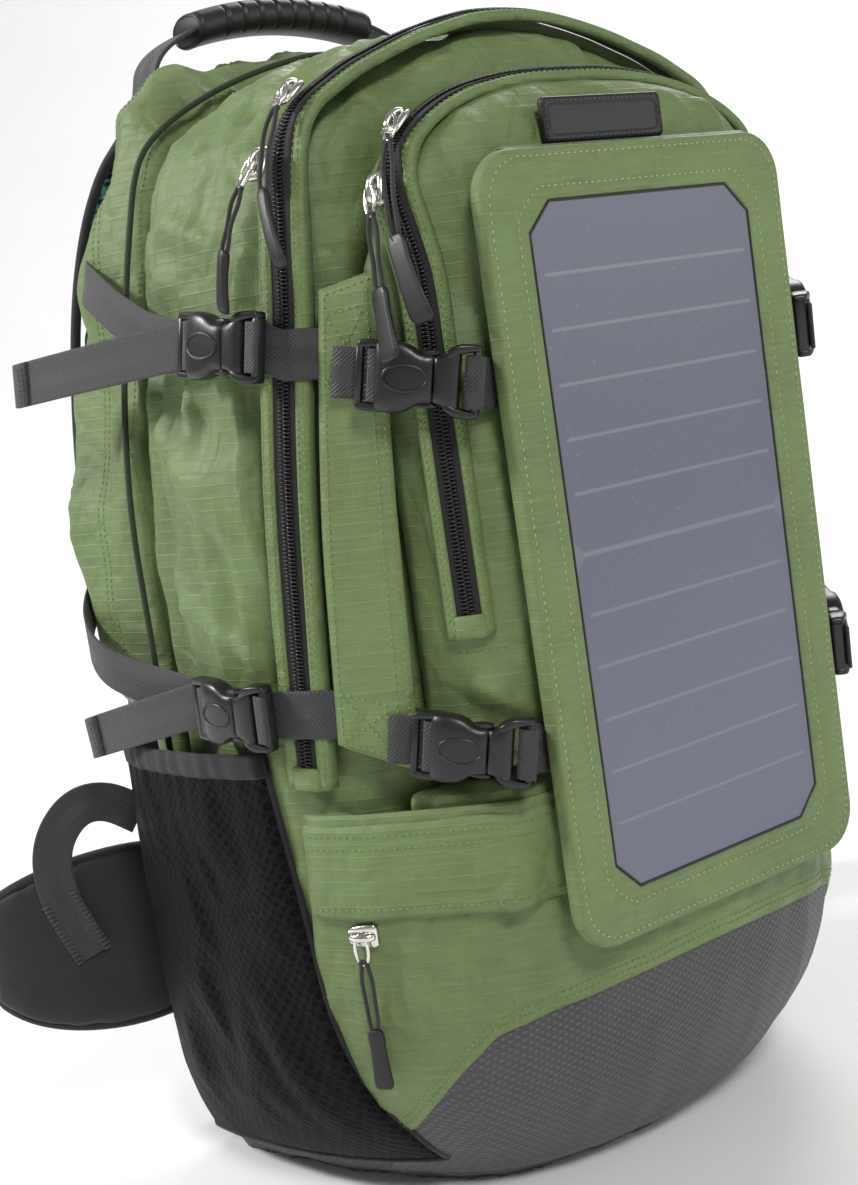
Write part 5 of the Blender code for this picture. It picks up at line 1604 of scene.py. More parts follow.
def female_shape(place, k=1.0, h=1.0, hip=False):
    """Receiving half: waisted body open at the front, with a ladder behind; k scales widths and h heights."""
    parts = []
    rows = [(-18.4, 11.6, 1.2, 6.6), (-17.7, 12.7, 0.4, 8.0), (-15.8, 13.4, 0.1, 9.2), (-13, 13.8, 0.0, 10.0),
            (-9.5, 13.6, 0.0, 10.4), (-6.5, 13.0, 0.0, 10.5), (-4.2, 12.0, 0.0, 10.5), (-2.2, 10.6, 0.0, 10.4),
            (-0.4, 9.7, 0.0, 10.3), (1.6, 9.3, 0.0, 10.1), (3.6, 9.4, 0.1, 9.8), (4.5, 9.1, 0.7, 9.3),
            (4.2, 8.4, 1.7, 7.6), (-8.5, 8.4, 1.7, 7.7)]
    stretch = 1.3 if hip else 1.0
    parts.append(box_loft(place, [(u * stretch if u < 0 else u, a * k, lo * h, hi * h) for u, a, lo, hi in rows],
                          0.5, 36))
    tree = BVHTree.FromPolygons(*[[tuple(v) for v in parts[0][0]], parts[0][1]])
    way = place.to_3x3() @ Vector((0, 0, 1))
    ring = []
    for n in range(36):
        a = 2 * math.pi * n / 36
        spot = at(place, -6.0 * stretch + 8.6 * k * math.cos(a), 5.0 * k * math.sin(a), 16)
        ring.append(tree.ray_cast(spot, -way, 30)[0] or spot - way * 7)
    parts.append(tube_shape(ring, 0.62, 8, closed=True, up=way))
    if hip:
        for hand in (-1, 1):
            rail = shifted(place, v=hand * 15.3)
            parts.append(box_loft(rail, [(-34, 1.2, 1.0, 6.0), (-33, 1.6, 0.4, 6.6), (-17, 1.7, 0.2, 8.6),
                                         (-15, 1.5, 0.6, 8.6)]))
        bar = shifted(place, u=-27.7)
        parts.append(box_loft(bar, [(-16.6, 4.6, 1.2, 5.6), (-15.8, 6.2, 0.4, 6.8), (15.8, 6.2, 0.4, 6.8),
                                    (16.6, 4.6, 1.2, 5.6)], 0.4, 20, "v"))
        return merge(parts)
    for hand in (-1, 1):
        rail = shifted(place, v=hand * 12.0)
        parts.append(box_loft(rail, [(-26.0, 0.8, 1.4, 4.6, hand * -1.6), (-25.5, 1.3, 0.6, 5.6, hand * -0.9),
                                     (-24.2, 1.6, 0.3, 6.0, hand * -0.1), (-20, 1.7, 0.2, 6.4, 0.0),
                                     (-15.5, 1.7, 0.1, 7.0, 0.0), (-12.5, 1.5, 0.2, 8.2, 0.0),
                                     (-10, 1.2, 1.0, 8.2, 0.0)]))
    for station, half, low, high in ((-24.5, 1.5, 0.3, 5.7), (-17.1, 1.5, 0.6, 5.6)):
        bar = shifted(place, u=station)
        parts.append(box_loft(bar, [(-12.0, half * 0.7, low + 0.5, high - 0.5), (-11.2, half, low, high),
                                    (11.2, half, low, high), (12.0, half * 0.7, low + 0.5, high - 0.5)], 0.5, 16, "v"))
    return merge(parts)


def male_shape(place, k=1.0, h=1.0, hip=False):
    """Plug half: side buttons, three prongs and a flared end with a webbing slot."""
    grow = 1.25 if hip else 1.0
    parts = []
    rows = [(4.9, 8.6, 1.4, 8.8), (5.3, 9.1, 0.8, 9.5), (6.6, 9.2, 0.5, 9.8), (8.4, 9.7, 0.4, 9.8),
            (10.2, 10.8, 0.4, 9.7), (12.0, 12.1, 0.4, 9.3), (13.4, 12.7, 0.5, 8.8), (14.3, 12.4, 1.0, 8.0)]
    parts.append(box_loft(place, [(u if u < 7 else 7 + (u - 7) * grow, a * k, lo * h, hi * h)
                                  for u, a, lo, hi in rows], 0.42, 28))
    last = 7 + (22.0 - 7) * grow
    for hand in (-1, 1):
        arm = [(0.05, 9.0, 1.0, 1.4, 7.6), (0.2, 9.9, 1.9, 0.7, 9.2), (0.36, 11.2, 2.2, 0.4, 9.2),
               (0.5, 12.0, 2.1, 0.4, 8.8), (0.68, 12.4, 1.7, 0.4, 8.0), (0.84, 12.6, 1.5, 0.4, 7.2),
               (0.95, 12.5, 1.4, 0.6, 6.6), (1.0, 11.9, 0.9, 1.2, 5.6)]
        parts.append(box_loft(place, [(7 + (last - 7) * t, half * k, low, high * h, hand * v * k)
                                      for t, v, half, low, high in arm]))
        button = shifted(place, v=hand * 9.9 * k)
        parts.append(box_loft(button, [(-2.6, 0.3, 3.4 * h, 6.2 * h), (-1.2, 0.9, 2.6 * h, 7.0 * h),
                                       (1.2, 1.25, 2.2 * h, 7.4 * h), (3.6, 1.2, 2.2 * h, 7.4 * h),
                                       (6.0, 0.8, 2.4 * h, 7.2 * h)], 0.55))
        prong = shifted(place, v=hand * 6.9 * k)
        parts.append(box_loft(prong, [(-8.2, 1.0, 3.2 * h, 6.2 * h), (-7.2, 1.8, 2.4 * h, 7.0 * h),
                                      (5.4, 1.8, 2.4 * h, 7.0 * h), (6.4, 1.6, 2.6 * h, 6.8 * h)], 0.5, 14))
    parts.append(box_loft(place, [(-6.6, 1.6, 3.2 * h, 6.2 * h), (-5.6, 2.6, 2.4 * h, 7.0 * h),
                                  (6.4, 2.6, 2.4 * h, 7.0 * h)], 0.5, 14))
    bar = shifted(place, u=last - 1.6)
    parts.append(box_loft(bar, [(-12.6 * k, 1.1, 1.0, 5.6 * h), (-11.6 * k, 1.6, 0.5, 6.3 * h),
                                (11.6 * k, 1.6, 0.5, 6.3 * h), (12.6 * k, 1.1, 1.0, 5.6 * h)], 0.5, 16, "v"))
    return merge(parts)


FRAMES = {}


def make_buckles():
    for side, tag in SIDES:
        FRAMES["side", "upper", tag] = side_buckle_frame(side, *SIDE_UPPER)
        FRAMES["side", "lower", tag] = side_buckle_frame(side, *SIDE_LOWER)
        FRAMES["corner", "upper", tag] = corner_frame(side, *CORNER_UPPER)
        FRAMES["corner", "lower", tag] = corner_frame(side, *CORNER_LOWER)
    for (kind, level, tag), place in FRAMES.items():
        female = kind + "_buckle_female_" + level + "_" + tag
        male = kind + "_buckle_male_" + level + "_" + tag
        piece(female + "_moulding", *female_shape(place), ACETAL, female, replaces=[female], slot="black_acetal")
        piece(male + "_moulding", *male_shape(place), ACETAL, "bag", replaces=[male], slot="black_acetal")


def rear_strap(level, side, tag, run, tail):
    place = FRAMES["side", level, tag]
    path = [Vector(on_side(side, y, z, off)) for y, z, off in run]
    across = [up_side(side, y, z) for y, z, off in run]
    inner = [(-30, -2.9), (-16, -2.9)] + LADDER_PATH + [(-30, -0.9)]
    path += web_path(place, inner)
    across += [web_across(place)] * len(inner)
    start = path[-1]
    finish = Vector(tail)
    bow = Vector((side * 3.0, 0, 0))
    for t in (0.25, 0.5, 0.75, 0.9, 1.0):
        path.append(start.lerp(finish, t) + bow * math.sin(math.pi * t))
        across.append(web_across(place) + Vector((side * 0.1 * t, 0, 0)))
    name = "rear_strap_" + level + "_" + tag
    made = strap(name + "_webbing", path, across, WEBBING, WEB_THICK, BLACK_WEB, None, [name], "black_webbing", 3)
    along = (path[-1] - path[-3]).normalized()
    wide = across[-1].normalized()
    out = along.cross(wide)
    if out.x * side < 0:
        out = -out
    fold_path = [path[-1] + along * u + out * w for u, w in ((-11, 1.5), (-2, 1.5), (0.6, 0.8))]
    hem = strap(name + "_hem", fold_path, [wide] * 3, WEBBING - 0.4, WEB_THICK, BLACK_WEB, None)
    parts = []
    for shift in (8.6, 5.6):
        line = np.array([path[-1] - along * shift + out * 2.35 + wide * v for v in np.linspace(-8, 8, 12)])
        parts.append((line, np.array([tuple(out)] * 12)))
    sewn = stitches(name + "_hem_stitching", parts, BLACK_THREAD, None, 2.4, 1.9, 0.4)
    for obj in (made, hem, sewn):
        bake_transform(obj)
    return made


def wing_strap(level, side, tag, z_from, z_to):
    plug = FRAMES["side", level, tag]
    ladder = FRAMES["corner", level, tag]
    path = web_path(plug, PLUG_PATH[::-1] + [(19.5, -1.2)])
    across = [web_across(plug)] * len(path)
    y_from = wing_left_y(z_from) + 0.5
    y_to = wing_right_y(z_to) - 4.5
    plug_y = at(plug, 20, 0, 0)[1]
    for y in ((plug_y + y_from + 6.5) / 2, y_from + 6.5):
        path.append(Vector(on_side(side, y, z_from + 1, 4.8)))
        across.append(up_side(side, y, z_from))
    steps = 10
    for k in range(steps + 1):
        t = k / steps
        y = y_from + (y_to - y_from) * t
        z = z_from + (z_to - z_from) * t
        path.append(Vector(on_side(side, y, z, 1.6)))
        across.append(up_side(side, y, z).lerp(web_across(ladder), t))
    path += web_path(ladder, LADDER_PATH + [(-27, -1.0), (-36, -0.6)])
    across += [web_across(ladder)] * (len(LADDER_PATH) + 2)
    name = "wing_strap_" + level + "_" + tag
    made = strap(name + "_webbing", path, across, WEBBING, WEB_THICK, BLACK_WEB, None, [name], "black_webbing", 3)
    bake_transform(made)


def front_strap(level, z_level, tilt):
    place = corner_frame(1, z_level, tilt)
    half = web_path(place, PLUG_PATH[::-1] + [(20.0, -1.4)])
    across = [web_across(place)] * len(half)
    end_z = at(place, 20, 0, 0)[2]
    half.append(Vector((82, -142.6, end_z - 2.0)))
    across.append(web_across(place).lerp(Vector((0, 0, 1)), 0.6))
    for x in (66, 40, 12):
        half.append(Vector((x, -141.9, end_z - 3.0)))
        across.append(Vector((0, 0, 1)))
    mirrored = [Vector((-p[0], p[1], p[2])) for p in reversed(half)]
    other = [Vector((-a[0], a[1], a[2])) for a in reversed(across)]
    name = "front_strap_" + level
    strap(name + "_webbing", half + mirrored, across + other, WEBBING, WEB_THICK, BLACK_WEB, "bag", [name],
          "black_webbing", 3)


make_buckles()
for side, tag in SIDES:
    rear_strap("upper", side, tag, [(92, 430, 8.0), (78, 423, 11.0), (58, 413, 6.0), (40, 404, 3.4), (22, 397, 2.8),
                                    (6, 391, 2.6)], (side * 168, 86, 379))
    rear_strap("lower", side, tag, [(92, 278, 15.0), (84, 262, 18.0), (68, 249, 14.0), (46, 241, 6.5),
                                    (26, 238, 3.2)], (side * 166, 78, 214))
    wing_strap("upper", side, tag, 374, 364)
    wing_strap("lower", side, tag, 231, 219)
front_strap("upper", *CORNER_UPPER)
front_strap("lower", *CORNER_LOWER)


# ---------------------------------------------------------------- solar panel and label

def corner_line(width, height, cut, curved, per_corner=9, per_long=26, per_short=14):
    """Outline with the same number of points whatever its corners are."""
    made = []
    for n, (sx, sz) in enumerate(((1, 1), (-1, 1), (-1, -1), (1, -1))):
        cx, cz = sx * (width / 2 - cut), sz * (height / 2 - cut)
        corner = []
        for k in range(per_corner):
            t = k / (per_corner - 1)
            if n % 2:
                t = 1 - t
            if curved:
                a = math.pi / 2 * t
                corner.append((cx + sx * cut * math.cos(a), cz + sz * cut * math.sin(a)))
            else:
                corner.append((cx + sx * cut * (1 - t), cz + sz * cut * t))
        made.append(corner)
    line = []
    for n in range(4):
        line += made[n]
        a, b = made[n][-1], made[(n + 1) % 4][0]
        count = per_short if n % 2 == 0 else per_long
        for k in range(1, count):
            t = k / count
            line.append((a[0] + (b[0] - a[0]) * t, a[1] + (b[1] - a[1]) * t))
    return np.array(line)


def make_panel():
    outer = corner_line(PANEL_WIDTH, PANEL_HEIGHT, 18, True)
    inner = corner_line(WINDOW_WIDTH, WINDOW_HEIGHT, WINDOW_CHAMFER, False)
    front, back = PANEL_FRONT_Y, PANEL_BACK_Y
    rows = [(0.10, back + 0.1, 0), (0.02, back - 0.5, 0), (0.0, back - 1.8, 0), (0.0, front + 2.6, 0),
            (0.012, front + 1.2, 0), (0.045, front + 0.35, 0), (0.10, front + 0.05, 0), (0.14, front + 0.05, 0),
            (0.165, front + 0.34, 0), (0.19, front + 0.02, 0), (0.3, front - 0.45, 1), (0.42, front - 0.6, 1),
            (0.55, front - 0.5, 1), (0.68, front - 0.1, 1), (0.74, front + 0.3, 0), (0.78, front - 0.02, 0),
            (0.88, front - 0.05, 0), (0.955, front + 0.15, 0), (0.99, front + 0.7, 0), (1.0, front + 1.5, 0),
            (1.0, front + 4.0, 0), (0.6, front + 4.6, 0), (0.6, back, 0)]
    verts = []
    count = len(outer)
    for t, y, soft in rows:
        for o, i in zip(outer, inner):
            p = o + (i - o) * t
            wave = 0.28 * noise.noise(Vector((p[0] / 26, p[1] / 26, 2.0))) * soft
            edge = 0.16 * noise.noise(Vector((p[0] / 13, p[1] / 13, 6.0))) * (1 if t < 0.1 else 0)
            verts.append((p[0] * (1 - edge / 90), y + wave, PANEL_CENTRE_Z + p[1] * (1 - edge / 170)))
    faces = []
    for r in range(len(rows)):
        n = (r + 1) % len(rows)
        for k in range(count):
            m = (k + 1) % count
            faces.append((r * count + k, r * count + m, n * count + m, n * count + k))
    panel = piece("panel_frame_cover", verts, faces, GREEN, "solar_panel", replaces=["panel_frame"],
                  slot="green_ripstop")
    backing = corner_line(PANEL_WIDTH - 6, PANEL_HEIGHT - 6, 15, True)
    rings = [[(x, y, PANEL_CENTRE_Z + z) for x, z in backing] for y in (front + 4.3, back - 0.2)]
    # The backing behind the panel wears the darker green copy: painted shade.
    piece("panel_backing", *sweep(rings), GREEN_SHADOW, "solar_panel")
    tree = tree_of(panel)
    runs = []
    for t in (0.165, 0.74):
        line = outer + (inner - outer) * t
        points = np.array([(x, front - 3, PANEL_CENTRE_Z + z) for x, z in np.vstack([line, line[:1]])])
        runs.append(snap(tree, points, np.array([(0, -1, 0)] * len(points)), 8, 0.12))
    stitches("panel_stitching", runs, PALE_THREAD, "solar_panel", 3.3, 2.3, 0.4, 0.1)
    for node, look in (("solar_laminate", CELLS), ("junction_box", ACETAL)):
        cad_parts[node].data.materials.clear()
        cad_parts[node].data.materials.append(look)
    rim = corner_line(WINDOW_WIDTH - 0.6, WINDOW_HEIGHT - 0.6, WINDOW_CHAMFER, False)
    line = [(x, front + 0.75, PANEL_CENTRE_Z + z) for x, z in rim]
    piece("laminate_rim", *tube_shape(line, 0.55, 6, True, 1.0, (0, 1, 0)), RUBBER, "solar_panel")
    parts = []
    for n in range(5):
        x = -16 + 8 * n
        line = [(x, back + 6.5, 391), (x, back + 6.75, 393), (x, back + 6.75, 403), (x, back + 6.5, 405)]
        parts.append(tube_shape(line, 0.7, 8, up=(1, 0, 0)))
    piece("junction_box_ribs", *merge(parts), ACETAL, "solar_panel")

    # The hinge strip under the panel's top edge wears the darker green copy: painted shade.
    path = [(0, -144.0, 424), (0, -144.6, 432), (0, -145.6, 436.5), (0, -147.2, 439.0), (0, -149.0, 440.2),
            (0, -151.2, 440.0), (0, -152.4, 438.6)]
    rings = []
    uv = []
    rows = respace(round_corners(path, 2), 0.8)
    ways = tangents(rows)
    for (x, y, z), way in zip(rows, ways):
        n = np.array([0, -way[2], way[1]])
        ring = []
        for a, b in ((-68, -0.35), (-67, -0.5), (67, -0.5), (68, -0.35), (68, 0.35), (67, 0.5), (-67, 0.5),
                     (-68, 0.35)):
            p = np.array([a, y, z]) + n * b
            ring.append(tuple(p))
            uv.append((a + 70, z))
        rings.append(ring)
    hinge = piece("panel_hinge_strip", *sweep(rings), GREEN_SHADOW, None, uv=uv)
    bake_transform(hinge)


def make_label():
    rings = []
    centre_x, centre_z = -4, 450.5
    for inset, y in ((0.6, -140.6), (0.0, -141.2), (0.0, -143.0), (0.35, -143.6), (2.6, -143.75), (3.2, -143.3),
                     (3.8, -143.2)):
        line = corner_line(66 - 2 * inset, 18 - 2 * inset, 2.2, True, 6, 6, 16)
        rings.append([(centre_x + x, y, centre_z + z) for x, z in line])
    patch = piece("label_patch_moulding", *sweep(rings), RUBBER, "bag", replaces=["label_patch"], slot="black_rubber")
    tree = tree_of(patch)
    line = corner_line(66 - 3.4, 18 - 3.4, 1.8, True, 6, 6, 16)
    points = np.array([(centre_x + x, -146, centre_z + z) for x, z in np.vstack([line, line[:1]])])
    runs = [snap(tree, points, np.array([(0, -1, 0)] * len(points)), 6, 0.05)]
    stitches("label_stitching", runs, BLACK_THREAD, "bag", 2.6, 1.9, 0.32)


make_panel()
make_label()


# ---------------------------------------------------------------- handle

def make_handle():
    ends = [(78, 511), (76.5, 517), (71, 523.5), (62, 529)]
    right = ends + [(50 * k / 6, 540.5 - 6.5 * (k / 6) ** 2) for k in range(6, 0, -1)]
    path = [(-x, HANDLE_Y, z) for x, z in right] + [(0, HANDLE_Y, 540.5)]
    path += [(x, HANDLE_Y, z) for x, z in reversed(right)]
    for side, tag in SIDES:
        part = [p for p in path if p[0] * side > 44]
        part = sorted(part, key=lambda p: p[2])
        part = [(side * 84, HANDLE_Y, 484), (side * 81, HANDLE_Y, 500)] + part + [(side * 42, HANDLE_Y, 535.9)]
        made = strap("handle_webbing_" + tag, part, (0, 1, 0), 22, 1.8, BLACK_WEB, None,
                     ["handle_webbing"] if side < 0 else [], "black_webbing")
        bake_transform(made)
    rings = []
    steps = 28
    count = 140
    for i in range(count + 1):
        x = -51 + 102 * i / count
        centre_z = 540.5 - 6.5 * (x / 50) ** 2
        end = clamp((51 - abs(x)) / 3.0, 0, 1)
        size = 0.8 + 0.2 * math.sqrt(max(0.0, 1 - (1 - end) ** 2))
        groove = max(math.exp(-((x - (-34.3 + 9.8 * n)) / 0.85) ** 4) for n in range(8))
        ring = []
        for k in range(steps):
            a = 2 * math.pi * k / steps
            c, s = math.cos(a), math.sin(a)
            ry = 13.5 * size * math.copysign(abs(c) ** 0.8, c)
            rz = 8.2 * size * math.copysign(abs(s) ** 0.85, s)
            dig = groove * 1.1 * clamp((0.93 - s) / 0.12, 0, 1) * clamp((0.9 + s) / 0.3, 0, 1)
            ring.append((x, HANDLE_Y + ry * (1 - 0.085 * dig), centre_z + rz * (1 - 0.09 * dig)))
        rings.append(ring)
    piece("handle_grip_moulding", *sweep(rings), RUBBER, "handle", replaces=["handle_grip"], slot="black_rubber")
    parts = []
    for x in (-50.2, 50.2):
        centre_z = 540.5 - 6.5 * (x / 50) ** 2
        line = [(x, HANDLE_Y + 12.4 * math.cos(a), centre_z + 7.3 * math.sin(a)) for a in
                (2 * math.pi * k / 32 for k in range(32))]
        parts.append(tube_shape(line, 1.0, 8, True, up=(1, 0, 0)))
    piece("handle_grip_rims", *merge(parts), RUBBER, "handle")


make_handle()


# ---------------------------------------------------------------- pads at the back

def edge_line(path, side, hand, inset):
    """A line along a shoulder pad, inset from the edge on the given hand."""
    rows = respace(round_corners(path, 2), 6)
    made = []
    for (x, y, z, half), way in zip(rows, tangents(rows[:, :3])):
        along = Vector((side * way[0], way[1], way[2]))
        across = Vector((1, 0, 0))
        across = (across - along * across.dot(along)).normalized()
        made.append(Vector((side * x, y, z)) + across * (hand * (half - inset)))
    return made


def quilt(name, free, lines, seam, size, lump, seeds):
    """Draws channels into a padded shell and gives it soft lumps; seam is its depth, width and pucker."""
    obj = SHELLS[name]
    hold_in(obj, TREES[name], free)
    subdivide(obj)
    co, _ = arrays(obj.data)
    normals = normals_of(obj.data)
    co = pinch(co, normals, lines, *seam, seeds[0])
    co += normals * (lump * rumple(co, size, seeds[1], 2))[:, None]
    put_back(obj.data, co)
    return obj


def make_pads():
    pad = SHELLS["back_pad_cushion"]
    channels = [[(0, 109, z) for z in range(80, 490, 20)]]
    for side, _ in SIDES:
        channels.append([(side * 62, 109, z) for z in range(110, 470, 20)])
    for z in (150, 232, 320, 400):
        channels.append([(x, 109, z) for x in range(-112, 113, 16)])
    presses = [([(-110, PAD_FRONT_Y, 100), (110, PAD_FRONT_Y, 100)], 400, 1.6)]
    finish_shell(pad, TREES["back_pad_cushion"], 2.2, presses, (PAD_FRONT_Y,), [(channels, 4.2, 7, 0.3)], (),
                 (50, 50, 50), 0.5, 31.0)
    dress(pad, TEAL_MESH, "bag", replaces=["back_pad"], slot="teal_air_mesh")
    outline = [(half, 101.5, z) for z, half in (
        (74, 93), (80, 100), (120, 112), (220, 118), (330, 116), (410, 108), (450, 98), (478, 84), (491, 66),
        (495, 48))]
    line = [(-x, y, z) for x, y, z in outline] + outline[::-1]
    rows = respace(np.array(line + line[:1], float), 6)[:-1]
    rows = relax(rows, np.array([(i, (i + 1) % len(rows)) for i in range(len(rows))]), 3)
    piece("back_pad_binding", *tube_shape(rows, 3.4, 10, True, 1.0, (0, 1, 0)), BINDING, "bag")

    for side, tag in SIDES:
        body = "shoulder_strap_" + tag
        middle = edge_line(SHOULDER_PATH, side, 0, 0)
        lines = [edge_line(SHOULDER_PATH, side, hand, 9) for hand in (-1, 1)]
        cushion = quilt("shoulder_cushion_" + tag, 2.2, lines, (1.5, 3.5, 0.3), (30, 30, 40), 0.5, (3.0, 4.0))
        dress(cushion, TEAL_MESH, body, replaces=["shoulder_pad_" + tag], slot="teal_air_mesh")
        parts = []
        for hand in (-1, 1):
            line = edge_line(SHOULDER_PATH, side, hand, 0.6)
            parts.append(tube_shape(line, 2.6, 10, up=(0, 1, 0.2)))
        piece("shoulder_binding_" + tag, *merge(parts), BINDING, body)
        tree = tree_of(cushion)
        spots, ways = snap(tree, np.array([tuple(p) for p in middle[2:-1]]),
                           np.array([(0, 1, 0.15)] * (len(middle) - 3)), 16, 0.8)
        strap("shoulder_tape_" + tag, [Vector(p) for p in spots], (1, 0, 0), 20, 1.2, BLACK_WEB, body,
              slot="black_webbing", times=1)
        runs = []
        for v in (-8.2, 8.2):
            line = np.array([p + np.array([v, 0, 0]) for p in spots])
            runs.append(snap(tree, line + np.array([0, 1.2, 0]), ways, 10, 1.4))
        stitches("shoulder_stitching_" + tag, runs, BLACK_THREAD, body)

        rows = np.array([(side * r[0], r[1], r[2]) for r in HIP_ROWS])
        channels = [[(x, y, z + shift * (0.5 + 0.5 * min(1, (206 - abs(x)) / 60))) for x, y, z in rows]
                    for shift in (-19, 19)]
        channels.append([(side * 128, 118.6, z) for z in range(60, 141, 8)])
        fin = quilt("hip_fin_cushion_" + tag, 2.4, channels, (1.8, 4.5, 0.35), (34, 34, 40), 0.8, (6.0, 9.0))
        dress(fin, PADDING, "hip_" + tag, replaces=["hip_belt_" + tag], slot="black_padding")
        fine = respace(round_corners(HIP_ROWS, 2), 5)
        top = [(side * x, y, z + tall - 2.2) for x, y, z, tall, nx, ny in fine]
        low = [(side * x, y, z - tall + 2.2) for x, y, z, tall, nx, ny in fine]
        line = respace(np.array(top + list(reversed(low)), float), 5)
        line = relax(line, np.array([(i, i + 1) for i in range(len(line) - 1)]), 2)
        piece("hip_fin_binding_" + tag, *tube_shape(line, 3.4, 12, up=(0, 1, 0)), BINDING, "hip_" + tag)


def make_lower_webbing():
    for side, tag in SIDES:
        end, before = SHOULDER_PATH[-1], SHOULDER_PATH[-2]
        along = Vector((side * (end[0] - before[0]), end[1] - before[1], end[2] - before[2])).normalized()
        origin = Vector((side * end[0], end[1], end[2])) + along * 1.0
        lock = frame_at(origin, along, Vector((0, 1, 0)))
        parts = []
        for hand in (-1, 1):
            rail = shifted(lock, v=hand * 12.9)
            parts.append(box_loft(rail, [(0.2, 1.4, -2.8, 2.8), (2, 1.8, -3.2, 3.2), (20, 1.9, -3.2, 3.2),
                                         (23.6, 1.2, -2.6, 2.6)]))
        for station, half in ((3.0, 2.8), (12.4, 1.9), (21.5, 2.3)):
            bar = shifted(lock, u=station)
            parts.append(box_loft(bar, [(-13.4, half * 0.7, -2.6, 2.6), (-12.4, half, -3.1, 3.1),
                                        (12.4, half, -3.1, 3.1), (13.4, half * 0.7, -2.6, 2.6)], 0.5, 16, "v"))
        piece("ladder_lock_moulding_" + tag, *merge(parts), ACETAL, "shoulder_strap_" + tag,
              replaces=["ladder_lock_" + tag], slot="black_acetal")
        web = web_path(lock, ((60, 12.0), (34, 8.8), (12, 7.4), (8.6, 6.2), (8.0, 2.0), (8.0, -3.4), (9.2, -4.8),
                              (15.8, -4.8), (16.9, -3.4), (16.9, 3.2), (18.2, 4.8), (27, 4.8)))
        web += [Vector(p) for p in ((side * 116, 121, 184), (side * 126, 108, 170), (side * 131, 101.0, 160))]
        flat = lock.to_3x3() @ Vector((0, 1, 0))
        flat = flat if flat.x > 0 else -flat
        across = [flat.lerp(Vector((0.83, side * -0.4, side * 0.25)), clamp((i - 12) / 3, 0, 1))
                  for i in range(len(web))]
        name = "lower_webbing_" + tag
        made = strap(name + "_strap", web, across, WEBBING, WEB_THICK, BLACK_WEB, None, [name], "black_webbing", 2)
        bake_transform(made)


def make_hip_webbing():
    for side, tag, slot_u, half, shape in ((-1, "left", -19.3, "female", female_shape),
                                           (1, "right", 20.0, "male", male_shape)):
        place = frame_at((side * 11, 169.6, 100), (1, 0, 0), (0, 1, 0))
        body = "hip_" + tag
        buckle = "hip_buckle_" + half
        piece(buckle + "_moulding", *shape(place, HIP_BUCKLE_WIDER, HIP_BUCKLE_TALLER, True), ACETAL, body,
              replaces=[buckle], slot="black_acetal")
        path = [(side * x, y, z) for x, y, z in (
            (168, 131.5, 104), (184, 136.0, 105), (196, 141.5, 106), (203.5, 149, 106), (203.5, 157, 106),
            (196, 164, 105.6), (178, 167.6, 104.4), (120, 168.0, 102))]
        path += web_path(place, [(slot_u + side * u, w) for u, w in (
            (10, -1.3), (1.2, -1.3), (0, 0.0), (0, 7.6), (1.4, 8.8), (13, 8.6), (20, 3.0), (34, 1.4))])
        verts, faces, uv = strap_shape(path, (0, 0, 1), 25, 1.6, 3)
        piece("hip_webbing_" + tag, verts, faces, BLACK_WEB, body, uv=uv, slot="black_webbing")
        parts = []
        for v in (-10.2, 10.2):
            for n in range(16):
                t = n / 15
                x = 170 + 26 * t
                y = 132.2 + 9.6 * t ** 1.15
                c = Vector((side * x, y + 1.5, 104 + 2 * t + v))
                parts.append(tube_shape([c - Vector((0, 0, 1.5)), c + Vector((side * 0.5, 0.2, 1.5))], 0.42, 6,
                                        up=(0, 1, 0.2)))
        loop = [(138, 99, 166), (150, 108, 176), (163, 114.5, 176), (174, 119, 165), (179, 121, 150), (178, 119.8, 132),
                (173, 118.0, 116), (167, 116.0, 101)]
        path = [Vector((side * x, y, z)) for x, y, z in loop]
        face = Vector((side * 0.5, -0.85, 0.1))
        across = [(path[min(i + 1, len(path) - 1)] - path[max(i - 1, 0)]).cross(face).normalized()
                  for i in range(len(path))]
        over = strap("hip_loop_" + tag, path, across, 19, 1.4, BLACK_WEB, None, slot="black_webbing", times=3)
        for n in range(15):
            t = n / 14
            mid = path[5].lerp(path[7], t)
            wide = across[6]
            for hand in (-1, 1):
                c = mid + wide * (hand * 7.6) + face * 1.3
                parts.append(tube_shape([c - wide * 1.7, c + wide * 1.7], 0.45, 6, up=face))
        piece("hip_bar_stitching_" + tag, *merge(parts), BLACK_THREAD, body)
        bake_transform(over)


make_pads()
make_lower_webbing()
make_hip_webbing()


# ---------------------------------------------------------------- stage, light and camera

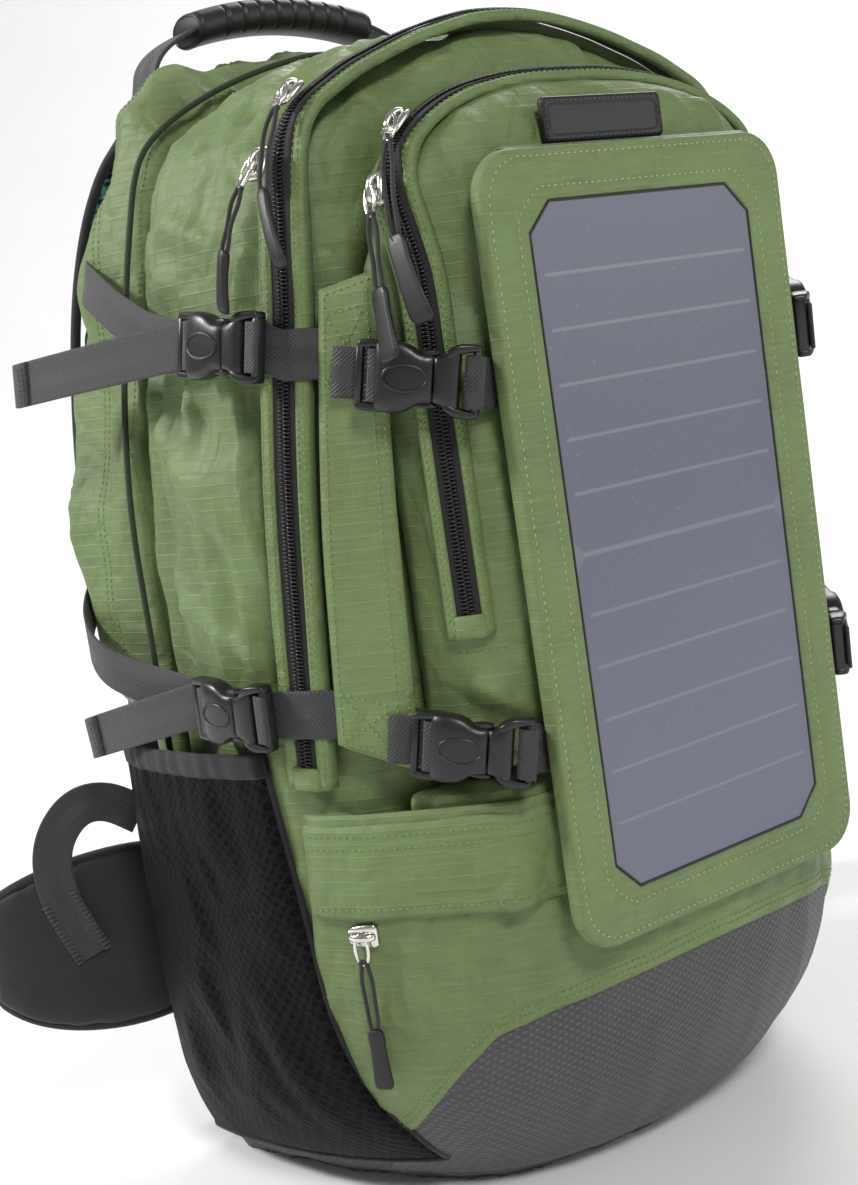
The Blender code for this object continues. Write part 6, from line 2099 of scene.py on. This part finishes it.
def make_stage():
    look = Look("pale_floor", 0.85, space="Object")
    fine = look.cloud(6.0, 3.0)
    look.colour(look.blend(fine, (0.86, 0.86, 0.86, 1), (0.9, 0.9, 0.9, 1)))
    mesh = bpy.data.meshes.new("floor")
    ahead = Vector((0.602, 0.798, 0))
    right = Vector((0.798, -0.602, 0))
    profile = [(-5.0, 0.0), (1.6, 0.0)]
    profile += [(1.6 + 1.6 * math.sin(a), 1.6 - 1.6 * math.cos(a))
                for a in (math.pi / 2 * k / 16 for k in range(1, 17))]
    profile.append((3.2, 5.0))
    verts = []
    for hand in (-7, 7):
        verts += [tuple(right * hand + ahead * d + Vector((0, 0, h))) for d, h in profile]
    count = len(profile)
    mesh.from_pydata(verts, [], [(k, count + k, count + k + 1, k + 1) for k in range(count - 1)])
    mesh.polygons.foreach_set("use_smooth", [True] * len(mesh.polygons))
    mesh.materials.append(look.material)
    floor = linked("floor", mesh)
    world = bpy.data.worlds.new("studio")
    bpy.context.scene.world = world
    world.use_nodes = True
    sky = world.node_tree.nodes["Background"].inputs
    sky[0].default_value = (1.0, 1.0, 1.0, 1)
    sky[1].default_value = WORLD_LIGHT
    aim = Vector((0, 0, 0.26))
    for name, place, size, power, colour in (("key_light", (-0.8, -2.1, 2.1), 0.6, 42, (1.0, 0.99, 0.97)),
                                             ("fill_light", (1.6, -2.0, 0.9), 1.2, 14, (0.97, 0.99, 1.0)),
                                             ("side_light", (-1.9, 1.3, 1.9), 0.45, 66, (1.0, 1.0, 1.0)),
                                             ("back_light", (2.2, 1.4, 2.6), 1.6, 60, (1.0, 1.0, 1.0))):
        lamp = bpy.data.lights.new(name, "AREA")
        lamp.size = size
        lamp.energy = power
        lamp.color = colour
        obj = linked(name, lamp)
        obj.location = place
        obj.rotation_mode = "QUATERNION"
        obj.rotation_quaternion = (Vector(place) - aim).to_track_quat("Z", "Y")
    camera = bpy.data.cameras.new("camera")
    camera.sensor_width = 36
    camera.sensor_fit = "AUTO"
    camera.lens = CAMERA_LENS
    camera.clip_start = 0.01
    obj = linked("camera", camera)
    forward = Vector(CAMERA_FORWARD).normalized()
    up = Vector(CAMERA_UP)
    right = forward.cross(up).normalized()
    up = right.cross(forward)
    turn = Matrix((right, up, -forward)).transposed().to_4x4()
    obj.matrix_world = Matrix.Translation(CAMERA_PLACE) @ turn
    bpy.context.scene.camera = obj
    bpy.context.scene.view_settings.view_transform = "Standard"


make_stage()
